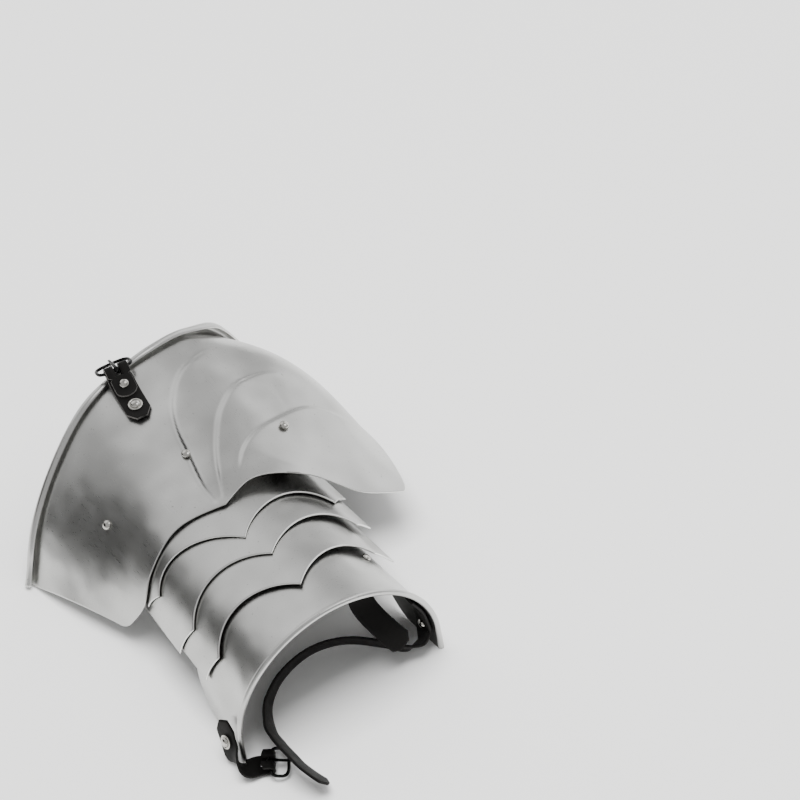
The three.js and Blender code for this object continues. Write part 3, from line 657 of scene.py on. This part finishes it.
def strip_frames(stations, steps):
    places = np.array([row[0] for row in stations], float)
    acrosses = np.array([row[1] for row in stations], float)
    path = curve_through(places)
    frames = []
    for t in np.linspace(0, 1, steps + 1):
        tangent = unit(path(min(t + NEARBY, 1)) - path(max(t - NEARBY, 0)))
        spot = t * (len(places) - 1)
        i = min(int(spot), len(places) - 2)
        across = acrosses[i] + (acrosses[i + 1] - acrosses[i]) * (spot - i)
        across = unit(across - tangent * across.dot(tangent))
        frames.append((t, path(t), across, np.cross(tangent, across)))
    return frames


def strip_section(width, thick):
    half, deep, corner = width / 2, thick / 2, min(SECTION_ROUND, width / 4)
    points = []
    for turn, sx, sy in ((0, 1, 1), (90, -1, 1), (180, -1, -1), (270, 1, -1)):
        for part in (0, 30, 60, 90):
            a = math.radians(turn + part)
            points.append((sx * (half - corner) + corner * math.cos(a),
                           sy * (deep - corner) + corner * math.sin(a)))
        if turn in (0, 180):
            inner = half - corner
            points += [(sx * inner * k, sy * deep) for k in (0.6, 0.2, -0.2, -0.6)]
    return points


def tube_faces(rings, sides):
    faces = []
    for i in range(rings - 1):
        for k in range(sides):
            j = (k + 1) % sides
            faces.append((i * sides + k, i * sides + j, (i + 1) * sides + j, (i + 1) * sides + k))
    return faces


def strip_mesh(stations, steps, width_at, rub):
    points, rubbed = [], []
    for t, at, across, normal in strip_frames(stations, steps):
        for x, y in strip_section(width_at(t), LEATHER):
            points.append(at + across * x + normal * y)
            rubbed.append(rub if abs(x) > width_at(t) / 2 - RUBBED_RIM else 0.0)
    ring = len(points) // (steps + 1)
    faces = tube_faces(steps + 1, ring)
    faces += [tuple(range(ring)), tuple(range(steps * ring, (steps + 1) * ring))]
    return np.array(points), faces, rubbed


def leather_piece(name, stations, steps, width_at, node, rub=0.0):
    points, faces, rubbed = strip_mesh(stations, steps, width_at, rub)
    made = piece(name, points, faces, leather, node, slot="leather")
    layer = made.data.attributes.new("rubbed", "FLOAT", "POINT")
    layer.data.foreach_set("value", rubbed)
    return made


def clipped(length, start, end, width=STRAP_WIDTH, narrow=CLIPPED_END):
    def width_at(t):
        from_start = min(1, t * length / start) if start else 1
        from_end = min(1, (1 - t) * length / end) if end else 1
        return width * (narrow + (1 - narrow) * min(from_start, from_end))
    return width_at


print("strip section points:", len(strip_section(STRAP_WIDTH, LEATHER)))

# %% [markdown]
# ## Inner leathers
# Three hidden leathers carry the lames: each is riveted under the shoulder plate, then passes under
# the top of every lame and ends on the upper-arm plate. The right one's tail hangs free inside.

# %% Inner leathers
UNDER_SHELL = 4
INNER_LENGTH, INNER_CLIP, INNER_STEPS = 160, 5, 90
RUNS_BY_RIVET = (-0.07, 0, 0.05)
FLAT_BY_RIVET = 9
CANNON_RIVET_ALONG, CANNON_RIVET_TURN = -56, 53
INNER_LEATHERS = {
    "left": dict(line=2.02, run=0.5, lift=0.4, under=1.1, degrees=-50),
    "centre": dict(line=4.05, run=0.64, lift=1.35, under=5.0, degrees=0),
    "right": dict(line=6.04, run=0.73, lift=1.6, under=3.3, degrees=44)}
RIGHT_TAIL = [(-44, 52, 68), (-36, 46.5, 50), (-9, 54, 31), (0, 59, 24)]
TAIL_ACROSS = (0.2, 0.98, 0)
NEXT_SPOT = 0.01 * np.array([-1, 0, 1])


def plate_spot(line, run):
    lines, runs = np.meshgrid(line + NEXT_SPOT, run + NEXT_SPOT)
    plain = plain_plate(lines, runs)
    normals = grid_normals(plain)
    raised = plain + flute_height(plain, normals)[..., None] * normals
    across = unit(raised[1, 2] - raised[1, 0])
    return raised[1, 1], across, grid_normals(raised)[1, 1]


def shell_seat(name, along, degrees):
    at, across, out = shell_frame(name, along, degrees)
    return at - (SHEET + UNDER_SHELL + LEATHER / 2) * out, across


for side, seat in INNER_LEATHERS.items():
    stations = []
    across = plate_spot(seat["line"], seat["run"])[1]
    for end in RUNS_BY_RIVET:
        at, _, out = plate_spot(seat["line"], seat["run"] + end)
        stations.append((at - (SHEET + seat["under"] + LEATHER / 2) * out, across))
    stations += [shell_seat(name, LAMES[name][0], seat["degrees"]) for name in LAMES]
    for along in (CANNON_TOP, CANNON_RIVET_ALONG - FLAT_BY_RIVET, CANNON_RIVET_ALONG):
        stations.append(shell_seat("arm_cannon", along, seat["degrees"]))
    if side == "right":
        stations += [(at, TAIL_ACROSS) for at in RIGHT_TAIL]
    leather_piece(f"inner_leather_{side}", stations, INNER_STEPS,
                  clipped(INNER_LENGTH, INNER_CLIP, INNER_CLIP), f"leather_{side}")

# %% [markdown]
# ## Rivets
# A rivet is turned: its profile is swept round its axis, and the base sits on the sheet. The head is
# a low dome, set with a hammer, and two of the rivets sit on a dished washer.

# %% Turned rivets
RIVET_RADIUS, RIVET_HEIGHT = 3.8, 2.4
WASHER_RADIUS, WASHER_HEIGHT = 5.8, 1.2
TURNS = 40
SEAT_GAP = 0.3
DOME_TURNS = np.linspace(0, math.pi / 2, 9)[:-1]
DOME_BASE, DOME_IN_WASHER = 0.3, WASHER_HEIGHT - 0.3
CROWN = 0.03
PLAIN_RIM = [(RIVET_RADIUS - 0.2, 0), (RIVET_RADIUS, 0.15)]
WASHER_RIM = [
    (WASHER_RADIUS - 0.3, 0), (WASHER_RADIUS, 0.3), (WASHER_RADIUS - 0.1, 0.9),
    (WASHER_RADIUS - 0.6, WASHER_HEIGHT), (WASHER_RADIUS - 1.3, WASHER_HEIGHT - 0.1),
    (RIVET_RADIUS + 0.3, WASHER_HEIGHT - 0.8), (RIVET_RADIUS + 0.05, WASHER_HEIGHT - 0.9)]
OFF_AXIS = [0.31, 0.95, 0.1]


def rivet_profile(washer):
    base = DOME_IN_WASHER if washer else DOME_BASE
    dome = [(RIVET_RADIUS * math.cos(a), base + RIVET_HEIGHT * math.sin(a)) for a in DOME_TURNS]
    return (WASHER_RIM if washer else PLAIN_RIM) + dome


def turned(profile, at, out):
    side = unit(np.cross(out, OFF_AXIS))
    other = np.cross(out, side)
    points = []
    for r, z in profile:
        for k in range(TURNS):
            a = 2 * math.pi * k / TURNS
            points.append(at + r * (math.cos(a) * side + math.sin(a) * other) + z * out)
    faces = tube_faces(len(profile), TURNS)
    points.append(at + (profile[-1][1] + CROWN) * out)
    last = (len(profile) - 1) * TURNS
    faces += [(last + k, last + (k + 1) % TURNS, len(points) - 1) for k in range(TURNS)]
    faces.append(tuple(range(TURNS)))
    return np.array(points), faces


def rivet(name, at, out, node, washer=False):
    piece(name, *turned(rivet_profile(washer), np.asarray(at), np.asarray(out)), nickel, node,
          slot="rivet")


for side, seat in INNER_LEATHERS.items():
    at, _, out = plate_spot(seat["line"], seat["run"])
    rivet(f"plate_dome_rivet_{side}", at + seat["lift"] * out, out, f"plate_rivet_{side}")
at, _, out = shell_frame("arm_cannon", CANNON_RIVET_ALONG, CANNON_RIVET_TURN)
rivet("arm_plate_dome_rivet", at + SEAT_GAP * out, out, "cannon_rivet_right")

# %% [markdown]
# ## Buckles
# Each buckle is a ring of round wire bent into a flattened oval, with a flat tongue wrapped round its
# bar. The wire is swept round the oval, and the tongue is a bent strip that lies on the ring.

# %% Buckle ring and tongue
RING_HALF, RING_DEPTH, RING_WIRE, RING_SQUARE = 13.7, 14.4, 1.3, 3.2
RING_STEPS, WIRE_STEPS = 96, 14
A_LITTLE_ON = 0.02


def squarish(turn, square):
    return [np.sign(v) * abs(v) ** (2 / square) for v in (math.cos(turn), math.sin(turn))]


def ring_mesh(bar, out, along, off):
    def oval(turn):
        deep, wide = squarish(turn, RING_SQUARE)
        return np.array([RING_DEPTH / 2 * (1 + deep), RING_HALF * wide])
    points, faces = [], []
    for i in range(RING_STEPS):
        turn = 2 * math.pi * (i + 0.5) / RING_STEPS
        heading = unit(oval(turn + A_LITTLE_ON) - oval(turn - A_LITTLE_ON))
        for k in range(WIRE_STEPS):
            a = 2 * math.pi * k / WIRE_STEPS
            x, y = oval(turn) + RING_WIRE * math.cos(a) * np.array([heading[1], -heading[0]])
            points.append(bar + x * out + y * along + RING_WIRE * math.sin(a) * off)
            j, n = (i + 1) % RING_STEPS, (k + 1) % WIRE_STEPS
            faces.append((i * WIRE_STEPS + k, j * WIRE_STEPS + k,
                          j * WIRE_STEPS + n, i * WIRE_STEPS + n))
    return np.array(points), faces


print("ring is", 2 * RING_HALF, "by", RING_DEPTH, "mm")

# %% [markdown]
# The tongue's side is drawn as a centre line: nearly a full turn round the bar, then straight out
# over the ring to its tip. Its section is a small rounded bar, thinner at the tip.

# %% Tongue
EYE_RADIUS = 2.2
EYE_TURNS = np.radians(np.linspace(385, 100, 22))
TONGUE_START, TONGUE_REACH, TONGUE_STEPS = 0.6, 17, 14
TONGUE_LIFT, TIP_LIFT, LIFTED_AT = 2.4, 2.2, 0.2
TONGUE_HALF_WIDE, TIP_NARROWER, TONGUE_HALF_THICK = 1.5, 0.5, 0.52
TAPER_FROM = 0.6
TONGUE_SIDES, TONGUE_SQUARE = 12, 4


def tongue_line():
    eye = [(EYE_RADIUS * math.cos(a), EYE_RADIUS * math.sin(a)) for a in EYE_TURNS]
    lift = np.interp(np.linspace(0, 1, TONGUE_STEPS), [0, LIFTED_AT, 1],
                     [EYE_RADIUS, TONGUE_LIFT, TIP_LIFT])
    arm = list(zip(np.linspace(TONGUE_START, TONGUE_REACH, TONGUE_STEPS), lift))
    return np.array(eye + arm)


def tongue_mesh(bar, out, along, off):
    line = tongue_line()
    headings = unit(np.gradient(line, axis=0))
    points = []
    for i, (spot, heading) in enumerate(zip(line, headings)):
        toward_tip = max(0, (i / (len(line) - 1) - TAPER_FROM) / (1 - TAPER_FROM))
        half_wide = TONGUE_HALF_WIDE - TIP_NARROWER * toward_tip
        for k in range(TONGUE_SIDES):
            wide, deep = squarish(2 * math.pi * k / TONGUE_SIDES, TONGUE_SQUARE)
            x, z = spot + TONGUE_HALF_THICK * deep * np.array([-heading[1], heading[0]])
            points.append(bar + x * out + half_wide * wide * along + z * off)
    faces = tube_faces(len(line), TONGUE_SIDES)
    faces += [tuple(range(TONGUE_SIDES)), tuple(range(len(points) - TONGUE_SIDES, len(points)))]
    return np.array(points), faces


def buckle(prefix, bar, out, along, ring_body="armour", tongue_body="armour"):
    off = np.cross(out, along)
    piece(f"{prefix}_ring", *ring_mesh(bar, out, along, off), black_plating, f"{prefix}_frame",
          body=ring_body, slot="buckle")
    piece(f"{prefix}_prong", *tongue_mesh(bar, out, along, off), black_plating, f"{prefix}_tongue",
          body=tongue_body, slot="buckle")


print("tongue points:", len(tongue_line()))

# %% [markdown]
# ## Shoulder tab
# The tab lies on the plate, climbs over the neck roll, folds round the buckle's bar and comes back as a
# rounded flap under a small rivet. A slot in the fold lets the tongue through: it is cut with a
# boolean modifier, applied at once, because the slot crosses a bent part.

# %% Slot cutter
FOLD_RADIUS = 3.3
SLOT_WIDTH, SLOT_LENGTH, SLOT_DEPTH, SLOT_BACK = 4.8, 13.2, 12, 6.7
FOLD_TURNS = np.radians(np.linspace(-90, 90, 5))


def cut_slot(strap, bar, heading, across, off):
    corners = []
    for x in (-SLOT_BACK, SLOT_LENGTH - SLOT_BACK):
        for y in (-SLOT_WIDTH / 2, SLOT_WIDTH / 2):
            for z in (-SLOT_DEPTH / 2, SLOT_DEPTH / 2):
                corners.append(bar + x * heading + y * across + z * off)
    faces = [(0, 1, 3, 2), (4, 6, 7, 5), (0, 4, 5, 1), (2, 3, 7, 6), (0, 2, 6, 4), (1, 5, 7, 3)]
    cutter = bpy.data.objects.new("slot_cutter", closed_mesh("slot_cutter", corners, faces))
    bpy.context.collection.objects.link(cutter)
    cut = strap.modifiers.new("slot", "BOOLEAN")
    cut.operation, cut.object, cut.solver = "DIFFERENCE", cutter, "EXACT"
    evaluated = strap.evaluated_get(bpy.context.evaluated_depsgraph_get())
    strap.data = bpy.data.meshes.new_from_object(evaluated)
    strap.modifiers.clear()
    bpy.data.objects.remove(cutter)
    print(f"{strap.name}: slot cut, {len(strap.data.polygons)} faces")


# %% [markdown]
# The tab's width follows the photographed one: clipped corners at its start, a nick at each side
# beside the fold, and a half-round end.

# %% Shoulder tab and its buckle
TAB_START = np.array([-251, -5.5, 106])
TAB_HEADING = unit(np.array([-0.99, 0.14, 0]))
UP = np.array([0.0, 0.0, 1.0])
TAB_ACROSS = np.cross(UP, TAB_HEADING)
TAB_BAR = (46, 9.8)
DROOP = math.radians(26)
FLAP_NARROWER = 0.86
TAB_STEPS, TAB_CLIP, TAB_TIP = 170, 0.045, 2
FLAP_ROUND_FROM = 0.91
NICK_DEPTH, NICK_AT, NICK_REACH = 0.22, 0.78, 0.01
TAPER_AT, TAPER = [0.3, 0.31, 0.76, 0.79], [1, 0.95, 0.95, FLAP_NARROWER]
TAB_WASHER, FLAP_RIVET = (13, 1.2), (33, 6.3)
LOWER_LAYER = [(0, 1.4), (12, 1.2), (24, 1.4), (34, 3.4), (41, 5.8)]
FLAP_LAYER = [(40, 9.6), (34, 6.6), (28, 4.6), (22.5, 4)]


def on_tab(out, up):
    return TAB_START + out * TAB_HEADING + up * UP


def tab_width(t):
    start = clipped(1, TAB_CLIP, 0)(t)
    into_end = max(0, (t - FLAP_ROUND_FROM) / (1 - FLAP_ROUND_FROM))
    nick = 1 - NICK_DEPTH * math.exp(-((t - NICK_AT) / NICK_REACH) ** 2)
    taper = np.interp(t, TAPER_AT, TAPER)
    return max(start * nick * taper * math.sqrt(max(0, 1 - into_end ** 2)), TAB_TIP)


fold = [(TAB_BAR[0] + FOLD_RADIUS * math.cos(a), TAB_BAR[1] + FOLD_RADIUS * math.sin(a))
        for a in FOLD_TURNS]
tab_stations = [(on_tab(*spot), TAB_ACROSS) for spot in LOWER_LAYER + fold + FLAP_LAYER]
shoulder_bar = on_tab(*TAB_BAR)
shoulder_tab = leather_piece("neck_tab", tab_stations, TAB_STEPS, tab_width, "shoulder_tab", rub=1.0)
cut_slot(shoulder_tab, shoulder_bar, TAB_HEADING, TAB_ACROSS, UP)
ring_out = math.cos(DROOP) * TAB_HEADING - math.sin(DROOP) * UP
buckle("shoulder_buckle", shoulder_bar, ring_out, TAB_ACROSS, "buckle_ring", "buckle_tongue")
flap_up = np.cross(unit(on_tab(*FLAP_LAYER[0]) - on_tab(*FLAP_LAYER[2])), TAB_ACROSS)
on_leather = LEATHER / 2 + SEAT_GAP
rivet("neck_tab_washer_rivet", on_tab(*TAB_WASHER) + on_leather * UP, UP, "shoulder_tab_washer", True)
rivet("neck_tab_small_rivet", on_tab(*FLAP_RIVET) + on_leather * flap_up, flap_up,
      "shoulder_tab_rivet")

# %% [markdown]
# ## Arm tab and arm strap
# The arm tab is riveted outside the left foot, turns in under the rim and holds a second buckle.

# %% Arm tab and its buckle
ARM_TAB_STEPS, ARM_TAB_START, ARM_TAB_END = 130, 0.05, 0.02
ARM_TAB_WIDTH = STRAP_WIDTH - 1
WASHER_OF_100, WASHER_LIFT = 10, 1.1
ARM_BAR = np.array([18.2, -77.6, 6.6])
ARM_BAR_WAY = unit(np.array([-0.85, 0.53, 0]))
ARM_OUT = np.array([0.52, 0.834, -0.18])
ARM_OUT = unit(ARM_OUT - ARM_BAR_WAY * ARM_OUT.dot(ARM_BAR_WAY))
ARM_OFF = np.cross(ARM_OUT, ARM_BAR_WAY)


def from_arm_bar(out, off):
    return ARM_BAR + out * ARM_OUT + off * ARM_OFF


arm_tab_stations = [
    ((-18, -92.6, 33), (-0.85, -0.36, -0.4)), ((-10, -95.2, 18), (-0.88, -0.2, -0.42)),
    ((2.6, -98, 11), (-0.9, 0, -0.25)), ((12, -95, 5.6), (-0.88, 0.3, -0.08)),
    ((14, -85.6, 3.6), ARM_BAR_WAY)]
arm_tab_stations += [(from_arm_bar(FOLD_RADIUS * math.cos(a), FOLD_RADIUS * math.sin(a)), ARM_BAR_WAY)
                     for a in FOLD_TURNS]
arm_tab_stations.append((from_arm_bar(-7, 2.6), ARM_BAR_WAY))
arm_tab = leather_piece("foot_tab", arm_tab_stations, ARM_TAB_STEPS,
                        clipped(1, ARM_TAB_START, ARM_TAB_END, ARM_TAB_WIDTH), "arm_tab")
cut_slot(arm_tab, ARM_BAR, ARM_OUT, ARM_BAR_WAY, ARM_OFF)
buckle("arm_buckle", ARM_BAR, ARM_OUT, ARM_BAR_WAY)
_, washer_at, _, washer_out = strip_frames(arm_tab_stations, 100)[WASHER_OF_100]
washer_out = washer_out if washer_out[1] < 0 else -washer_out
rivet("foot_tab_washer_rivet", washer_at + (LEATHER / 2 + WASHER_LIFT) * washer_out, washer_out,
      "arm_tab_washer", True)

# %% [markdown]
# The strap is riveted inside the right foot and lies on its edge round the opening, out to a pointed
# tail. It leans a little outwards from the middle of its loop.

# %% Arm strap
STRAP_LENGTH, STRAP_POINT, STRAP_TIP, STRAP_STEPS = 328, 8, 0.2, 220
STRAP_RIVET = (-9.5, 81.6 - LEATHER / 2 - SEAT_GAP, 24.4)
ON_EDGE = unit(np.array([0.6, -0.26, 0.757]))
STRAP_MIDDLE = np.array([19.8, -10, 10])
STRAP_LEAN = math.radians(13)
STRAP_WAY = [
    (-7, 64, 10.3), (-23, 50.5, 10.3), (-40.5, 34, 10.3), (-48.5, 19.5, 10.3), (-51.5, 2, 10.3),
    (-47.5, -19, 10.3), (-39, -36, 10.3), (-26, -50, 10.3), (-4.2, -61.4, 14), (14, -65.5, 18.5),
    (34.4, -65.6, 19.3), (45.5, -64.3, 17.5), (58, -60.3, 14), (68, -55.8, 11)]


def leaning(at):
    out = np.array(at) - STRAP_MIDDLE
    out = unit(out - ON_EDGE * out.dot(ON_EDGE))
    return at, math.cos(STRAP_LEAN) * ON_EDGE + math.sin(STRAP_LEAN) * out


strap_stations = [((-11.2, 71.6, 62), (1, 0, 0)), ((-11.2, 78.8, 46), (1, 0, 0)),
                  ((-11.2, 81.6, 30), (1, 0, 0)), ((-10.2, 81.5, 17), (1, 0, 0.1)),
                  ((-5, 75.5, 11.2), (0.8, -0.3, 0.5))] + [leaning(at) for at in STRAP_WAY]
leather_piece("closing_strap", strap_stations, STRAP_STEPS,
              clipped(STRAP_LENGTH, 0, STRAP_POINT, STRAP_WIDTH, STRAP_TIP), "arm_strap")
rivet("closing_strap_rivet", STRAP_RIVET, (0, -1, 0), "arm_strap_rivet")

# %% [markdown]
# ## Floor, light and camera
# A pale sweep lies under the part. Steel shows what is round it, so the light comes mostly from a room
# with brighter and darker places, and only a little from a lamp.

# %% Floor
FLOOR_HALF = 9
floor_material, _, floor_shader = new_material("pale_paper_sweep")
floor_shader.inputs["Base Color"].default_value = linear("#f6f6f5")
floor_shader.inputs["Roughness"].default_value = 0.9
floor_mesh = bpy.data.meshes.new("floor")
floor_corners = [(x * FLOOR_HALF, y * FLOOR_HALF, 0) for x, y in ((-1, -1), (1, -1), (1, 1), (-1, 1))]
floor_mesh.from_pydata(floor_corners, [], [(0, 1, 2, 3)])
floor_mesh.materials.append(floor_material)
floor = bpy.data.objects.new("floor", floor_mesh)
bpy.context.collection.objects.link(floor)
print("floor laid at zero height")

# %% [markdown]
# The room is a soft grey dome with a bright wall at the right wing, a lighter ceiling corner behind the
# neck, and a dark doorway with a passage beside it low on the left. These are what the left wing, the
# lames and the arm plate mirror as a blurred dark band.

# %% Room light
ROOM_GREY = 0.66
WALL_BRIGHT, CORNER_BRIGHT, DOORWAY_DIM = 1.3, 0.8, 1.0


def toward(azimuth, height):
    a, h = math.radians(azimuth), math.radians(height)
    return (math.cos(h) * math.cos(a), math.cos(h) * math.sin(a), math.sin(h))


world = bpy.data.worlds.new("studio")
bpy.context.scene.world = world
world.use_nodes = True
dome = world.node_tree
way = add_node(dome, "ShaderNodeTexCoord").outputs["Generated"]


def dome_patch(middle, outer, inner, low, high):
    near = add_node(dome, "ShaderNodeVectorMath", {0: way, 1: middle}, operation="DOT_PRODUCT")
    return add_node(dome, "ShaderNodeMapRange", {
        "Value": near.outputs["Value"], "From Min": math.cos(math.radians(outer)),
        "From Max": math.cos(math.radians(inner)), "To Min": low, "To Max": high},
        interpolation_type="SMOOTHSTEP").outputs[0]


wall = dome_patch(toward(azimuth=106, height=16), outer=36, inner=14,
                  low=ROOM_GREY, high=ROOM_GREY + WALL_BRIGHT)
corner = dome_patch(toward(azimuth=-178, height=35), outer=38, inner=12, low=0, high=CORNER_BRIGHT)
doorway = dome_patch(toward(azimuth=-115, height=21), outer=18, inner=9, low=1, high=1 - DOORWAY_DIM)
passage = dome_patch(toward(azimuth=-134, height=9), outer=22, inner=11, low=1, high=1 - DOORWAY_DIM)
walls = add_node(dome, "ShaderNodeMath", {0: wall, 1: corner}, operation="ADD").outputs[0]
openings = add_node(dome, "ShaderNodeMath", {0: doorway, 1: passage}, operation="MULTIPLY").outputs[0]
glow = add_node(dome, "ShaderNodeMath", {0: walls, 1: openings}, operation="MULTIPLY")
dome.links.new(glow.outputs[0], dome.nodes["Background"].inputs["Strength"])
dome.nodes["Background"].inputs["Color"].default_value = linear("#ffffff")
print("room grey", ROOM_GREY)

# %% [markdown]
# One weak soft lamp stands at the right wing. The sweep has a lamp of its own overhead, as a
# photographer lights the background apart from the object. It is linked to the sweep alone, so the
# steel keeps the room's reflections.

# %% Lamps
def area_lamp(name, size, watts, place):
    data = bpy.data.lights.new(name, "AREA")
    data.size, data.energy = size, watts
    made = bpy.data.objects.new(name, data)
    made.location = place
    bpy.context.collection.objects.link(made)
    print(f"{name}: {watts} W")
    return made


lamp = area_lamp("soft_lamp", size=0.9, watts=6, place=(0.3, 0.9, 1.6))
lamp.rotation_euler = (-lamp.location).to_track_quat("-Z", "Y").to_euler()
sweep_lamp = area_lamp("sweep_lamp", size=2.5, watts=260, place=(0, 0, 4))
lit_by_sweep = bpy.data.collections.new("lit_by_sweep_lamp")
lit_by_sweep.objects.link(floor)
sweep_lamp.light_linking.receiver_collection = lit_by_sweep

# %% [markdown]
# The camera looks from the elbow side, half from above, as in the photograph. It was found by fitting
# the straps, rivets and scallop tips, and a long lens keeps the same near-parallel view. The part
# sits left and low in the picture, so the camera is turned off it by that angle.

# %% Camera
LENS, SENSOR, PICTURE = 1200, 36, 800
PIXELS_PER_MM = 1.325
RIGHT = np.array([0.531, 0.837, -0.135])
ABOVE = np.array([-0.598, 0.483, 0.640])
TOWARD = np.array([0.600, -0.259, 0.757])
RIM_PIXEL, AIM_PIXEL = (345, 694), (232, 555)
AIM_DEPTH = 15
CLIP_END = 200
focal = PICTURE * LENS / SENSOR
across_mm = (AIM_PIXEL[0] - RIM_PIXEL[0]) / PIXELS_PER_MM
above_mm = (RIM_PIXEL[1] - AIM_PIXEL[1]) / PIXELS_PER_MM
aim = across_mm * RIGHT + above_mm * ABOVE - AIM_DEPTH * TOWARD
ray = unit(np.array([(AIM_PIXEL[0] - PICTURE / 2) / focal, (PICTURE / 2 - AIM_PIXEL[1]) / focal, -1]))
basis = Matrix(np.column_stack([unit(RIGHT), unit(ABOVE), unit(TOWARD)]).tolist())
turn = (basis @ Vector(ray)).rotation_difference(Vector(-unit(TOWARD)))
camera_data = bpy.data.cameras.new("camera")
camera_data.lens, camera_data.sensor_width = LENS, SENSOR
camera_data.clip_end = CLIP_END
camera = bpy.data.objects.new("camera", camera_data)
place = in_frame(aim + TOWARD * focal / PIXELS_PER_MM / -ray[2])
camera.matrix_world = Matrix.Translation(place.tolist()) @ (turn.to_matrix() @ basis).to_4x4()
bpy.context.collection.objects.link(camera)
bpy.context.scene.camera = camera
print("camera stands", round(float(np.linalg.norm(place)), 2), "m away")
